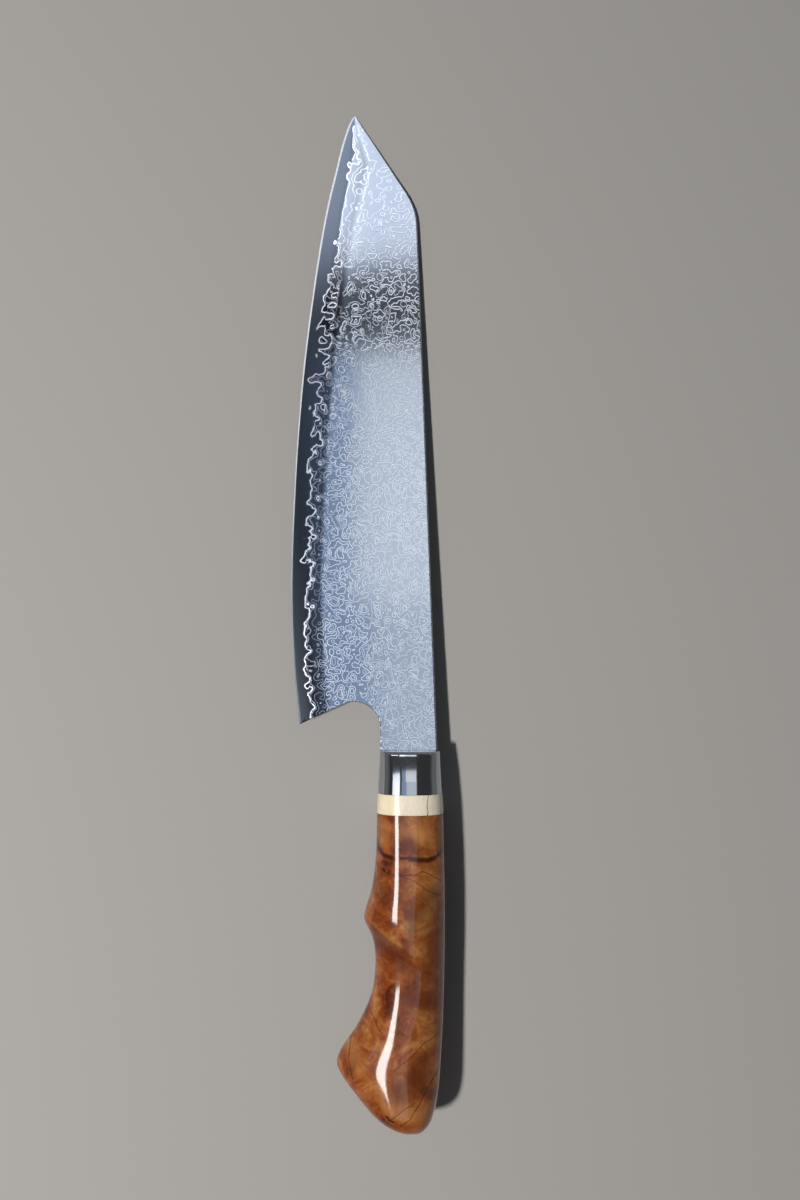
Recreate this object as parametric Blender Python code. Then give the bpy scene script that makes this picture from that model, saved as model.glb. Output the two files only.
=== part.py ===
"""Gyuto kitchen knife lying on its right side: a three-layer blade with a sculpted hidden-tang handle.

The knife is drawn in its own frame: Y runs along the tang with 0 at the bolster's front face and the tip
at +Y, X runs across with the spine at +X and the cutting edge at -X, and Z is the thickness, with 0 on the
blade's middle plane. A parent empty then lays the knife down on its tip and handle. All sizes are metres.
"""
import math

import bmesh
import bpy
import numpy as np
from mathutils import Matrix

# Blade outline
BLADE_LENGTH = 0.2101
HEEL_HEIGHT = 0.0464
TIP_DROP = 0.0201
CLIP_LENGTH = 0.0328
CLIP_ROUND_LENGTH = 0.0056
SPINE_ANGLE = math.radians(2.11)
HEEL_SETBACK = 0.0088
CHOIL_ANGLE = math.radians(24.4)
CHOIL_RADIUS = 0.0088
NECK_BELLY = 0.0099
NECK_BACK = 0.0094
# The edge's sweep: share of the blade's length from the heel, share of the drop from tip to heel
EDGE_SWEEP_SHARES = (
    (0.0, 1.0), (0.104, 1.044), (0.215, 1.046), (0.396, 0.952), (0.560, 0.812), (0.692, 0.651),
    (0.825, 0.449), (0.907, 0.279), (0.958, 0.163), (0.990, 0.060), (1.0, 0.0),
)

# Blade section
SPINE_THICKNESS = 0.0023
LENGTHWISE_THINNING = 0.00134
CROSSWISE_THINNING = 0.00077
EDGE_THICKNESS = 0.00012
BEVEL_WIDTH = 0.0110
BEVEL_SHARE = 0.62
SPINE_EASE = 0.0004
TIP_SHARE = 0.03
CORE_THICKNESS = 0.00084
CORE_THINNING = 0.00055
WELD_GAP = 0.00002

# Tang
TANG_WIDTH = 0.0090
TANG_END_WIDTH = 0.0055
TANG_REACH = 0.0600

# Bolster and spacer
BOLSTER_LENGTH = 0.0140
BOLSTER_RIM = 0.0012
BOLSTER_TAPER = 0.0010
BOLSTER_SLOPE_DROP = 0.0018
BOLSTER_SLOPE_LENGTH = 0.0095
SLOPE_EXPONENT = 1.25
RIM_DROP = 0.0010
BELLY_OVERHANG = 0.0001
BACK_OVERHANG = 0.0010
SPACER_LENGTH = 0.0066

# Grip
GRIP_LENGTH = 0.1053
GRIP_BELLY = 0.01107
GRIP_BACK = 0.01153
GRIP_THICKNESS = 0.0192
BUTT_APEX = 0.0012
# Where the finger bump stands, and how far it reaches
RIDGE_SHARE = 0.336
BUMP_SHARE = 1.380
# Outline from the front, down the belly, round the butt and up the back: share of the grip's length, and
# the distance out from the tang's line, in shares of the grip's half width at its front
BELLY_SHARES = (
    (0.125, 1.025), (0.243, 1.160), (0.305, 1.333), (RIDGE_SHARE, BUMP_SHARE), (0.364, 1.274),
    (0.400, 1.120), (0.470, 1.042), (0.570, 1.150), (0.670, 1.575), (0.754, 2.100), (0.790, 2.205),
    (0.824, 2.085), (0.913, 1.395), (0.965, 0.820), (0.991, 0.280),
)
BACK_SHARES = (
    (0.991, 0.400), (0.965, 0.610), (0.926, 0.742), (0.873, 0.845), (0.687, 0.972), (0.360, 1.050),
    (0.067, 1.015),
)
# Thickness along the grip, in shares of the thickness at its front
SWELL_SHARES = (
    (0.0, 1.0), (0.18, 1.05), (0.33, 1.08), (0.45, 1.05), (0.60, 1.00), (0.70, 1.04), (0.80, 1.12),
    (0.90, 1.23), (1.0, 1.36),
)
BUTT_ROUND_LENGTH = 0.0090
ROUND_EXPONENT = 2.4
# Exponents of the section's superellipse: 2 is an ellipse, and more is boxier. The section is boxy over the
# first share of the handle's length and roundest at the second
FRONT_EXPONENT = 2.55
WAIST_EXPONENT = 2.05
BUTT_EXPONENT = 2.5
SQUARE_SHARE = 0.2
WAIST_SHARE = 0.66
# Where the crown line runs, as a share of the way from the tang's line to the middle of the outline
CROWN_SHARE = 0.3
# How fast the belly side of the section grows sharper as the outline widens
BELLY_SHARPENING = 0.4
RIDGE_LEAN = 0.62
SCOOP_DEPTH = 0.0013
SCOOP_START_SHARE = -0.2
SCOOP_END_SHARE = 0.5
SCOOP_LENGTH = 0.0340
SCOOP_RISE_LENGTH = 0.0040

# Fits
GLUE_LINE = 0.00005
FIT_GAP = 0.0003
BED_WALL = 0.0012
DOWEL_RADIUS = 0.00125
DOWEL_OFFSET = 0.0076
DOWEL_IN_BOLSTER = 0.0050
DOWEL_IN_GRIP = 0.0060

RING_POINTS = 28
CUTTER_REACH = 0.0100

heel_y = HEEL_SETBACK
tip_y = HEEL_SETBACK + BLADE_LENGTH
spacer_front = -BOLSTER_LENGTH - GLUE_LINE
spacer_rear = spacer_front - SPACER_LENGTH
grip_front = spacer_rear - GLUE_LINE
grip_end = grip_front - GRIP_LENGTH
tang_end = grip_front - TANG_REACH


def smooth_path(points, steps):
    """Returns a centripetal Catmull-Rom curve through the points, with the given steps in each span."""
    pts = np.array(points, dtype=float)
    pts = np.vstack((2 * pts[0] - pts[1], pts, 2 * pts[-1] - pts[-2]))
    knots = np.concatenate(((0.0,), np.cumsum(np.linalg.norm(np.diff(pts, axis=0), axis=1) ** 0.5)))
    path = []
    for i in range(1, len(pts) - 2):
        t0, t1, t2, t3 = knots[i - 1:i + 3]
        p0, p1, p2, p3 = pts[i - 1:i + 3]
        for t in np.linspace(t1, t2, steps, endpoint=False):
            a1 = (t1 - t) / (t1 - t0) * p0 + (t - t0) / (t1 - t0) * p1
            a2 = (t2 - t) / (t2 - t1) * p1 + (t - t1) / (t2 - t1) * p2
            a3 = (t3 - t) / (t3 - t2) * p2 + (t - t2) / (t3 - t2) * p3
            b1 = (t2 - t) / (t2 - t0) * a1 + (t - t0) / (t2 - t0) * a2
            b2 = (t3 - t) / (t3 - t1) * a2 + (t - t1) / (t3 - t1) * a3
            path.append((t2 - t) / (t2 - t1) * b1 + (t - t1) / (t2 - t1) * b2)
    path.append(pts[-2])
    return np.array(path)


def smooth_step(low, high, value):
    """Returns 0 below low, 1 above high and an even S-curve between."""
    t = min(max((value - low) / (high - low), 0.0), 1.0)
    return t * t * (3 - 2 * t)


def new_collection(name):
    collection = bpy.data.collections.new(name)
    bpy.context.scene.collection.children.link(collection)
    return collection


def material(name, colour, metallic, roughness):
    """Returns a Principled material of one even colour."""
    mat = bpy.data.materials.new(name)
    mat.use_nodes = True
    shader = mat.node_tree.nodes["Principled BSDF"]
    shader.inputs["Base Color"].default_value = (*colour, 1.0)
    shader.inputs["Metallic"].default_value = metallic
    shader.inputs["Roughness"].default_value = roughness
    mat.diffuse_color = (*colour, 1.0)
    return mat


def add_object(name, mesh, collection, mat=None):
    obj = bpy.data.objects.new(name, mesh)
    collection.objects.link(obj)
    if mat:
        mesh.materials.append(mat)
    else:
        obj.hide_render = True
        obj.display_type = "WIRE"
    return obj


def loft(name, rings):
    """Returns a closed mesh through rings of equal point counts, with a flat cap on each end."""
    bm = bmesh.new()
    rows = [[bm.verts.new(point) for point in ring] for ring in rings]
    for row, following in zip(rows, rows[1:]):
        for i in range(len(row)):
            j = (i + 1) % len(row)
            bm.faces.new((row[i], row[j], following[j], following[i]))
    bm.faces.new(reversed(rows[0]))
    bm.faces.new(rows[-1])
    bmesh.ops.remove_doubles(bm, verts=bm.verts, dist=0.000001)
    bmesh.ops.dissolve_degenerate(bm, edges=bm.edges, dist=0.000001)
    bmesh.ops.recalc_face_normals(bm, faces=bm.faces)
    mesh = bpy.data.meshes.new(name)
    bm.to_mesh(mesh)
    bm.free()
    return mesh


def rod(name, x, radius, front, rear):
    """Returns a round rod along Y, centred across at x."""
    bm = bmesh.new()
    bmesh.ops.create_cone(bm, cap_ends=True, segments=20, radius1=radius, radius2=radius, depth=front - rear)
    bmesh.ops.rotate(bm, verts=bm.verts, matrix=Matrix.Rotation(math.pi / 2, 3, "X"))
    bmesh.ops.translate(bm, verts=bm.verts, vec=(x, (front + rear) / 2, 0))
    mesh = bpy.data.meshes.new(name)
    bm.to_mesh(mesh)
    bm.free()
    return mesh


def cut(obj, cutter, operation="DIFFERENCE"):
    modifier = obj.modifiers.new(cutter.name, "BOOLEAN")
    modifier.operation = operation
    modifier.object = cutter


# Blade geometry
def spine_x(y):
    return NECK_BACK - math.tan(SPINE_ANGLE) * y


def back_x(y):
    """Returns the blade's back at y: the straight spine, then the straight clip down to the tip."""
    corner = tip_y - CLIP_LENGTH
    steepness = TIP_DROP / CLIP_LENGTH
    if y <= corner - CLIP_ROUND_LENGTH:
        return spine_x(y)
    if y < corner + CLIP_ROUND_LENGTH:
        return spine_x(y) - steepness * (y - corner + CLIP_ROUND_LENGTH) ** 2 / (4 * CLIP_ROUND_LENGTH)
    return spine_x(y) - steepness * (y - corner)


edge_path = smooth_path(EDGE_SWEEP_SHARES, 8)


def edge_x(y):
    share = min(max((y - heel_y) / BLADE_LENGTH, 0.0), 1.0)
    drop = TIP_DROP + (HEEL_HEIGHT - TIP_DROP) * np.interp(share, edge_path[:, 0], edge_path[:, 1])
    return spine_x(max(y, heel_y)) - drop


def face_height(x, y):
    """Returns the height of the blade's flat face over the middle plane, thinner to the tip and the edge."""
    lengthwise = LENGTHWISE_THINNING * y / BLADE_LENGTH
    crosswise = CROSSWISE_THINNING * (NECK_BACK - x) / HEEL_HEIGHT
    return (SPINE_THICKNESS - lengthwise - crosswise) / 2


def core_height(y):
    return (CORE_THICKNESS - CORE_THINNING * y / BLADE_LENGTH) / 2


def blade_ring(y):
    """Returns the closed section of the blade at y, from the edge over the left face and back underneath."""
    low = edge_x(y)
    high = back_x(y)
    width = high - low
    bevel = min(BEVEL_WIDTH, BEVEL_SHARE * width)
    ease = min(SPINE_EASE, 0.2 * width)
    edge_height = EDGE_THICKNESS / 2
    most = edge_height + TIP_SHARE * width
    shoulder_height = min(face_height(low + bevel, y), most)
    upper = []
    for share in (0.0, 0.1, 0.25, 0.42, 0.6, 0.8, 1.0):
        rise = share * (1.3 - 0.3 * share)
        upper.append((low + bevel * share, edge_height + (shoulder_height - edge_height) * rise))
    for share in (0.5, 1.0):
        x = low + bevel + (width - bevel - ease) * share
        upper.append((x, min(face_height(x, y), most)))
    upper.append((high, max(min(face_height(high, y), most) - ease, edge_height)))
    if width < 0.0001:
        upper = [((low + high) / 2, edge_height)] * len(upper)
    lower = [(x, -z) for x, z in reversed(upper)]
    return [(x, y, z) for x, z in upper + lower]


def blade_blank():
    """Returns the forged blank, with the edge carried straight back past the heel to the tang's end."""
    corner = tip_y - CLIP_LENGTH
    stations = np.concatenate((
        (tang_end - CUTTER_REACH,),
        np.linspace(heel_y / 2, corner - CLIP_ROUND_LENGTH, 26, endpoint=False),
        np.linspace(corner - CLIP_ROUND_LENGTH, corner + CLIP_ROUND_LENGTH, 7, endpoint=False),
        tip_y - (tip_y - corner - CLIP_ROUND_LENGTH) * np.linspace(1, 0, 13) ** 1.5,
    ))
    return loft("blade_blank", [blade_ring(y) for y in stations])


def tang_half_width(y):
    share = y / tang_end
    return (TANG_WIDTH + (TANG_END_WIDTH - TANG_WIDTH) * share) / 2


def tang_envelope(name, margin, front, rear):
    """Returns a closed tapered block that stands clear of the tang by the margin on all four sides."""
    rings = []
    for y in (front, rear):
        half_width = tang_half_width(y) + margin
        half_height = face_height(tang_half_width(y), y) + margin
        corners = ((-1, -1), (1, -1), (1, 1), (-1, 1))
        rings.append([(sx * half_width, y, sz * half_height) for sx, sz in corners])
    return loft(name, rings)


def tang_and_choil_outline():
    """Returns the outline of what is ground away behind the heel and on both sides of the tang."""
    heel_x = edge_x(heel_y)
    arc_x = -NECK_BELLY - CHOIL_RADIUS
    arc_y = heel_y + (arc_x - heel_x) * math.tan(CHOIL_ANGLE) - CHOIL_RADIUS / math.cos(CHOIL_ANGLE)
    out = heel_x - CUTTER_REACH
    outline = [(out, heel_y - CUTTER_REACH * math.tan(CHOIL_ANGLE))]
    for angle in np.linspace(math.pi / 2 + CHOIL_ANGLE, 0, 14):
        outline.append((arc_x + CHOIL_RADIUS * math.cos(angle), arc_y + CHOIL_RADIUS * math.sin(angle)))
    outline.append((-NECK_BELLY, GLUE_LINE))
    outline.append((-tang_half_width(0), GLUE_LINE))
    outline.append((-tang_half_width(tang_end), tang_end))
    outline.append((tang_half_width(tang_end), tang_end))
    outline.append((tang_half_width(0), GLUE_LINE))
    outline.append((NECK_BACK + CUTTER_REACH, GLUE_LINE))
    outline.append((NECK_BACK + CUTTER_REACH, tang_end - 2 * CUTTER_REACH))
    outline.append((out, tang_end - 2 * CUTTER_REACH))
    return outline


def layer_slab(name, low, high):
    """Returns a wide slab between two heights, each given as a function of y."""
    reach = HEEL_HEIGHT + CUTTER_REACH
    rings = []
    for y in (tang_end - 2 * CUTTER_REACH, tip_y + CUTTER_REACH):
        corners = ((-reach, low(y)), (reach, low(y)), (reach, high(y)), (-reach, high(y)))
        rings.append([(x, y, z) for x, z in corners])
    return loft(name, rings)


# Handle geometry
def grip_outline():
    """Returns the grip's outline as points of length share and signed half width."""
    points = [(0.0, -GRIP_BELLY)]
    points += [(share, -width * GRIP_BELLY) for share, width in BELLY_SHARES]
    points.append((1.0, BUTT_APEX))
    points += [(share, width * GRIP_BACK) for share, width in BACK_SHARES]
    points.append((0.0, GRIP_BACK))
    scaled = [(share * GRIP_LENGTH, x) for share, x in points]
    path = smooth_path(scaled, 8)
    turn = int(np.argmax(path[:, 0]))
    return path[:turn + 1], path[turn:][::-1]


belly_path, back_path = grip_outline()


def handle_width(y):
    """Returns where the handle's belly and back lie across, at y."""
    if y >= grip_front:
        share = y / grip_front
        belly = NECK_BELLY + BELLY_OVERHANG
        back = NECK_BACK + BACK_OVERHANG
        return -belly + (belly - GRIP_BELLY) * share, back + (GRIP_BACK - back) * share
    run = grip_front - y
    return tuple(np.interp(run, path[:, 0], path[:, 1]) for path in (belly_path, back_path))


swell_path = smooth_path(SWELL_SHARES, 6)


def handle_height(y):
    """Returns half of the handle's thickness at y."""
    if y >= grip_front:
        height = GRIP_THICKNESS / 2 - BOLSTER_TAPER * (1 - y / grip_front)
        height -= BOLSTER_SLOPE_DROP * max(0.0, 1 + y / BOLSTER_SLOPE_LENGTH) ** SLOPE_EXPONENT
        if y > -BOLSTER_RIM:
            lack = 1 + y / BOLSTER_RIM
            height -= RIM_DROP * (1 - math.sqrt(1 - lack * lack))
        return height
    share = (grip_front - y) / GRIP_LENGTH
    height = GRIP_THICKNESS / 2 * np.interp(share, swell_path[:, 0], swell_path[:, 1])
    over = max(0.0, 1 - (y - grip_end) / BUTT_ROUND_LENGTH)
    return height * (1 - over ** ROUND_EXPONENT) ** (1 / ROUND_EXPONENT)


def section_exponent(y):
    """Returns the section's exponent at y: boxy at the bolster, rounder at the waist, boxier at the butt."""
    run = y / grip_end
    rounding = (WAIST_EXPONENT - FRONT_EXPONENT) * smooth_step(SQUARE_SHARE, WAIST_SHARE, run)
    squaring = (BUTT_EXPONENT - WAIST_EXPONENT) * smooth_step(WAIST_SHARE, 1.0, run)
    return FRONT_EXPONENT + rounding + squaring


def scoop(x, y):
    """Returns how far the surface is drawn in behind the ridge that runs back from the finger bump."""
    bump_y = grip_front - RIDGE_SHARE * GRIP_LENGTH
    bump_x = -BUMP_SHARE * GRIP_BELLY
    behind = bump_y - RIDGE_LEAN * (x - bump_x) - y
    fade = 1 - smooth_step(SCOOP_START_SHARE * GRIP_BELLY, SCOOP_END_SHARE * GRIP_BACK, x)
    entry = smooth_step(0, SCOOP_RISE_LENGTH, behind)
    run_out = 1 - smooth_step(SCOOP_RISE_LENGTH, SCOOP_LENGTH, behind)
    return SCOOP_DEPTH * fade * entry * run_out


def handle_ring(y):
    """Returns the closed section of the handle at y."""
    belly, back = handle_width(y)
    crown = (belly + back) / 2 * (CROWN_SHARE + (1 - CROWN_SHARE) * max(0.0, y / grip_end) ** 8)
    height = handle_height(y)
    back_exponent = section_exponent(y)
    belly_exponent = back_exponent * min(1.0, GRIP_BELLY / max(crown - belly, FIT_GAP)) ** BELLY_SHARPENING
    ring = []
    for i in range(RING_POINTS):
        angle = 2 * math.pi * i / RING_POINTS
        power = 2 / (back_exponent if math.cos(angle) > 0 else belly_exponent)
        across = math.copysign(abs(math.cos(angle)) ** power, math.cos(angle))
        up = math.copysign(abs(math.sin(angle)) ** power, math.sin(angle))
        x = crown + (back - crown if across > 0 else crown - belly) * across
        z = height * up
        z -= math.copysign(min(scoop(x, y), abs(z)) * abs(up), z)
        ring.append((x, y, z))
    return ring


def grip_stations():
    """Returns the grip's section places, closer together at the ridge and round the butt."""
    shares = np.concatenate((
        np.linspace(0, RIDGE_SHARE - 0.08, 7, endpoint=False),
        np.linspace(RIDGE_SHARE - 0.08, RIDGE_SHARE + 0.12, 14, endpoint=False),
        np.linspace(RIDGE_SHARE + 0.12, 0.82, 10, endpoint=False),
        0.82 + 0.1785 * np.sin(np.linspace(0, math.pi / 2, 12)),
    ))
    return grip_front - GRIP_LENGTH * shares


def bolster_stations():
    rim = -BOLSTER_RIM * (1 - np.cos(np.linspace(0, math.pi / 2, 5)))
    return np.concatenate((rim, np.linspace(-BOLSTER_RIM, -BOLSTER_LENGTH, 5)[1:]))


# Assembly
def build_blade(parts, cutters):
    """Adds the core steel and its two claddings, all three running back into the tang."""
    outline = tang_and_choil_outline()
    reach = 4 * SPINE_THICKNESS
    rings = [[(x, y, z) for x, y in outline] for z in (-reach, reach)]
    outline_cutter = add_object("tang_and_choil_cutter", loft("tang_and_choil_cutter", rings), cutters)
    layers = (
        ("core_steel", lambda y: -core_height(y), core_height, (0.16, 0.16, 0.17), 0.4),
        ("left_cladding", lambda y: core_height(y) + WELD_GAP, lambda y: reach, (0.50, 0.53, 0.58), 0.3),
        ("right_cladding", lambda y: -reach, lambda y: -core_height(y) - WELD_GAP, (0.50, 0.53, 0.58), 0.3),
    )
    for name, low, high, colour, roughness in layers:
        slab = add_object(name + "_slab", layer_slab(name + "_slab", low, high), cutters)
        mesh = blade_blank()
        layer = add_object(name, mesh, parts, material(name, colour, 1.0, roughness))
        cut(layer, outline_cutter)
        cut(layer, slab, "INTERSECT")


def build_handle(parts, cutters):
    """Adds the bolster, the spacer, the grip, the bed round the tang and the two dowels."""
    bolster_mesh = loft("bolster", [handle_ring(y) for y in bolster_stations()])
    spacer_mesh = loft("bone_spacer", [handle_ring(y) for y in (spacer_front, spacer_rear)])
    grip_mesh = loft("wood_grip", [handle_ring(y) for y in grip_stations()])
    bolster = add_object("bolster", bolster_mesh, parts, material("bolster", (0.62, 0.63, 0.65), 1.0, 0.05))
    spacer = add_object("bone_spacer", spacer_mesh, parts, material("bone", (0.78, 0.70, 0.52), 0.0, 0.25))
    grip = add_object("wood_grip", grip_mesh, parts, material("burl_wood", (0.35, 0.14, 0.05), 0.0, 0.15))

    slot_mesh = tang_envelope("tang_slot_cutter", FIT_GAP, CUTTER_REACH, grip_front - CUTTER_REACH)
    slot = add_object("tang_slot_cutter", slot_mesh, cutters)
    cut(bolster, slot)
    cut(spacer, slot)

    bed_front = grip_front - GLUE_LINE
    bed_rear = tang_end - FIT_GAP - BED_WALL
    bed_mesh = tang_envelope("epoxy_bed", FIT_GAP + BED_WALL, bed_front, bed_rear)
    bed = add_object("epoxy_bed", bed_mesh, parts, material("epoxy", (0.45, 0.36, 0.22), 0.0, 0.4))
    hollow_mesh = tang_envelope("bed_hollow_cutter", FIT_GAP, CUTTER_REACH, tang_end - FIT_GAP)
    cut(bed, add_object("bed_hollow_cutter", hollow_mesh, cutters))
    mortise_mesh = tang_envelope("mortise_cutter", 2 * FIT_GAP + BED_WALL, CUTTER_REACH, bed_rear - FIT_GAP)
    cut(grip, add_object("mortise_cutter", mortise_mesh, cutters))

    dowel_front = -BOLSTER_LENGTH + DOWEL_IN_BOLSTER
    dowel_rear = grip_front - DOWEL_IN_GRIP
    dowel_material = material("dowel_steel", (0.55, 0.55, 0.56), 1.0, 0.3)
    for name, x in (("belly_dowel", -DOWEL_OFFSET), ("back_dowel", DOWEL_OFFSET)):
        add_object(name, rod(name, x, DOWEL_RADIUS, dowel_front, dowel_rear), parts, dowel_material)
        hole_radius = DOWEL_RADIUS + FIT_GAP
        hole_mesh = rod(name + "_hole", x, hole_radius, dowel_front + FIT_GAP, dowel_rear - FIT_GAP)
        hole = add_object(name + "_hole", hole_mesh, cutters)
        for piece in (bolster, spacer, grip):
            cut(piece, hole)


def evaluated_points(objects):
    """Returns every point of the objects' finished meshes in world space, as an array of rows."""
    depsgraph = bpy.context.evaluated_depsgraph_get()
    points = []
    for obj in objects:
        evaluated = obj.evaluated_get(depsgraph)
        mesh = evaluated.to_mesh()
        points += [tuple(evaluated.matrix_world @ vertex.co) for vertex in mesh.vertices]
        evaluated.to_mesh_clear()
    return np.array(points)


def resting_pitch(points):
    """Returns the pitch at which the lowest point of the blade and that of the handle are level."""
    blade = points[points[:, 1] > 0]
    handle = points[points[:, 1] < 0]
    pitch = 0.0
    for _ in range(12):
        front = blade[np.argmin(blade[:, 2] * math.cos(pitch) + blade[:, 1] * math.sin(pitch))]
        rear = handle[np.argmin(handle[:, 2] * math.cos(pitch) + handle[:, 1] * math.sin(pitch))]
        pitch = math.atan((rear[2] - front[2]) / (front[1] - rear[1]))
    return pitch


def lay_down(parts, cutters):
    """Pitches the knife until its tip and its handle rest on one plane, and stands its box on the origin."""
    pieces = list(parts.objects)
    stand = bpy.data.objects.new("lying_pose", None)
    parts.objects.link(stand)
    stand.rotation_euler.x = resting_pitch(evaluated_points(pieces))
    for obj in pieces + list(cutters.objects):
        obj.parent = stand
    bpy.context.view_layer.update()
    points = evaluated_points(pieces)
    low, high = points.min(axis=0), points.max(axis=0)
    stand.location = (-(low[0] + high[0]) / 2, -(low[1] + high[1]) / 2, -low[2])
    bpy.context.view_layer.update()


for old in list(bpy.data.objects):
    bpy.data.objects.remove(old, do_unlink=True)
knife_parts = new_collection("gyuto_knife")
knife_cutters = new_collection("cutters")
build_blade(knife_parts, knife_cutters)
build_handle(knife_parts, knife_cutters)
for piece in knife_parts.objects:
    piece.data.shade_smooth()
    piece.data.set_sharp_from_angle(angle=math.radians(30))
lay_down(knife_parts, knife_cutters)
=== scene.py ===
"""Gyuto kitchen knife lying on its right side, with an etched layered blade and a sculpted burl handle."""
import functools
import math

import bmesh
import bpy
import numpy as np
from mathutils import Matrix, Vector


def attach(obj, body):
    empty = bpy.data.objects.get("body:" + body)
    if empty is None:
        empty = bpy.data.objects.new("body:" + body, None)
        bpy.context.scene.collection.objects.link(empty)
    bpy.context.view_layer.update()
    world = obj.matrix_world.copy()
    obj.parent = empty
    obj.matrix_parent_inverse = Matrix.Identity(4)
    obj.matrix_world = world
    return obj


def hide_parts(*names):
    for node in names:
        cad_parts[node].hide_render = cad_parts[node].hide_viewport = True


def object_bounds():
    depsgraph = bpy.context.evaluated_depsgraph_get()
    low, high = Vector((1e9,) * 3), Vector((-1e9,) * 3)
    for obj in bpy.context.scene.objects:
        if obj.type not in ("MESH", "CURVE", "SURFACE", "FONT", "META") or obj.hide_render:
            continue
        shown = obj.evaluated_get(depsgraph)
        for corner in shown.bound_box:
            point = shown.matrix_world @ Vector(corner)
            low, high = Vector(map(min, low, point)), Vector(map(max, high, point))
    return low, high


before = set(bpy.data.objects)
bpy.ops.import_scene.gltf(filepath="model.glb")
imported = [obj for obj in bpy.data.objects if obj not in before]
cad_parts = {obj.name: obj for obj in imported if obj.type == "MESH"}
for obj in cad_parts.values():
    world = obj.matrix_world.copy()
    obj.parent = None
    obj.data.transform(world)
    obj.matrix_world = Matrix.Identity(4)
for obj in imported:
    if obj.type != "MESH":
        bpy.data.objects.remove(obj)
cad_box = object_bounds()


# Core steel
# The hard carbon steel sheet in the middle of the blade, forge-welded between two softer claddings.
# It is ground to a thin edge, where the acid etch leaves it dark, and honed to a bright line. Both are
# painted lighter towards the tip, as painted reflections.
# It runs back as the middle layer of the tang, which is glued inside the handle.
BLADE_LENGTH = 0.2101
HEEL_HEIGHT = 0.0464
TIP_DROP = 0.0201
CLIP_LENGTH = 0.0328
CLIP_ROUND_LENGTH = 0.0056
SPINE_ANGLE = math.radians(2.11)
HEEL_SETBACK = 0.0088
CHOIL_ANGLE = math.radians(24.4)
CHOIL_RADIUS = 0.0088
NECK_BELLY = 0.0099
NECK_BACK = 0.0094
# The edge's sweep: share of the blade's length from the heel, share of the drop from tip to heel
EDGE_SWEEP_SHARES = (
    (0.0, 1.0), (0.104, 1.044), (0.215, 1.046), (0.396, 0.952), (0.560, 0.812), (0.692, 0.651),
    (0.825, 0.449), (0.907, 0.279), (0.958, 0.163), (0.990, 0.060), (1.0, 0.0),
)
SPINE_THICKNESS = 0.0023
LENGTHWISE_THINNING = 0.00134
CROSSWISE_THINNING = 0.00077
BEVEL_WIDTH = 0.0110
BEVEL_SHARE = 0.62
BEVEL_BULGE = 0.3
EDGE_THICKNESS = 0.00012
HONED_THICKNESS = 0.00002
SHOULDER_BLEND = 0.00010
HONED_WIDTH = 0.00060
HONED_HEEL_SHARE = 0.3
SPINE_EASE = 0.0004
CHOIL_EASE = 0.00030
TIP_SHARE = 0.03
POINT_WIDTH = 0.0001
CORE_THICKNESS = 0.00084
CORE_THINNING = 0.00055
WELD_GAP = 0.00002
GLUE_LINE = 0.00005
TANG_WIDTH = 0.0090
TANG_END_WIDTH = 0.0055
TANG_END_Y = -0.0808
CUTTER_REACH = 0.0100
NECK_STATIONS = (-0.0040, 0.0011)
FACE_START_Y = 0.0024
MERGE_DISTANCE = 0.000001
# How the knife lies: pitched down towards its tip, with its box standing on the middle of the floor
LYING_PITCH = math.radians(-2.27928)
LYING_PLACE = Vector((0.0140425, -0.0464244, 0.0087692))
lying = Matrix.Translation(LYING_PLACE) @ Matrix.Rotation(LYING_PITCH, 4, "X")

heel_y = HEEL_SETBACK
tip_y = HEEL_SETBACK + BLADE_LENGTH
clip_corner = tip_y - CLIP_LENGTH


def smooth_path(points, steps):
    """Returns a centripetal Catmull-Rom curve through the points, with the given steps in each span."""
    pts = np.array(points, dtype=float)
    pts = np.vstack((2 * pts[0] - pts[1], pts, 2 * pts[-1] - pts[-2]))
    knots = np.concatenate(((0.0,), np.cumsum(np.linalg.norm(np.diff(pts, axis=0), axis=1) ** 0.5)))
    path = []
    for i in range(1, len(pts) - 2):
        t0, t1, t2, t3 = knots[i - 1:i + 3]
        p0, p1, p2, p3 = pts[i - 1:i + 3]
        for t in np.linspace(t1, t2, steps, endpoint=False):
            a1 = (t1 - t) / (t1 - t0) * p0 + (t - t0) / (t1 - t0) * p1
            a2 = (t2 - t) / (t2 - t1) * p1 + (t - t1) / (t2 - t1) * p2
            a3 = (t3 - t) / (t3 - t2) * p2 + (t - t2) / (t3 - t2) * p3
            b1 = (t2 - t) / (t2 - t0) * a1 + (t - t0) / (t2 - t0) * a2
            b2 = (t3 - t) / (t3 - t1) * a2 + (t - t1) / (t3 - t1) * a3
            path.append((t2 - t) / (t2 - t1) * b1 + (t - t1) / (t2 - t1) * b2)
    path.append(pts[-2])
    return np.array(path)


edge_path = smooth_path(EDGE_SWEEP_SHARES, 24)


def spine_x(y):
    return NECK_BACK - math.tan(SPINE_ANGLE) * y


def back_x(y):
    """Returns the blade's back at y: the straight spine, then the straight clip down to the tip."""
    steepness = TIP_DROP / CLIP_LENGTH
    if y <= clip_corner - CLIP_ROUND_LENGTH:
        return spine_x(y)
    if y < clip_corner + CLIP_ROUND_LENGTH:
        drop = steepness * (y - clip_corner + CLIP_ROUND_LENGTH) ** 2 / (4 * CLIP_ROUND_LENGTH)
        return spine_x(y) - drop
    return spine_x(y) - steepness * (y - clip_corner)


def edge_x(y):
    share = min(max((y - heel_y) / BLADE_LENGTH, 0.0), 1.0)
    drop = TIP_DROP + (HEEL_HEIGHT - TIP_DROP) * np.interp(share, edge_path[:, 0], edge_path[:, 1])
    return spine_x(max(y, heel_y)) - drop


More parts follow.
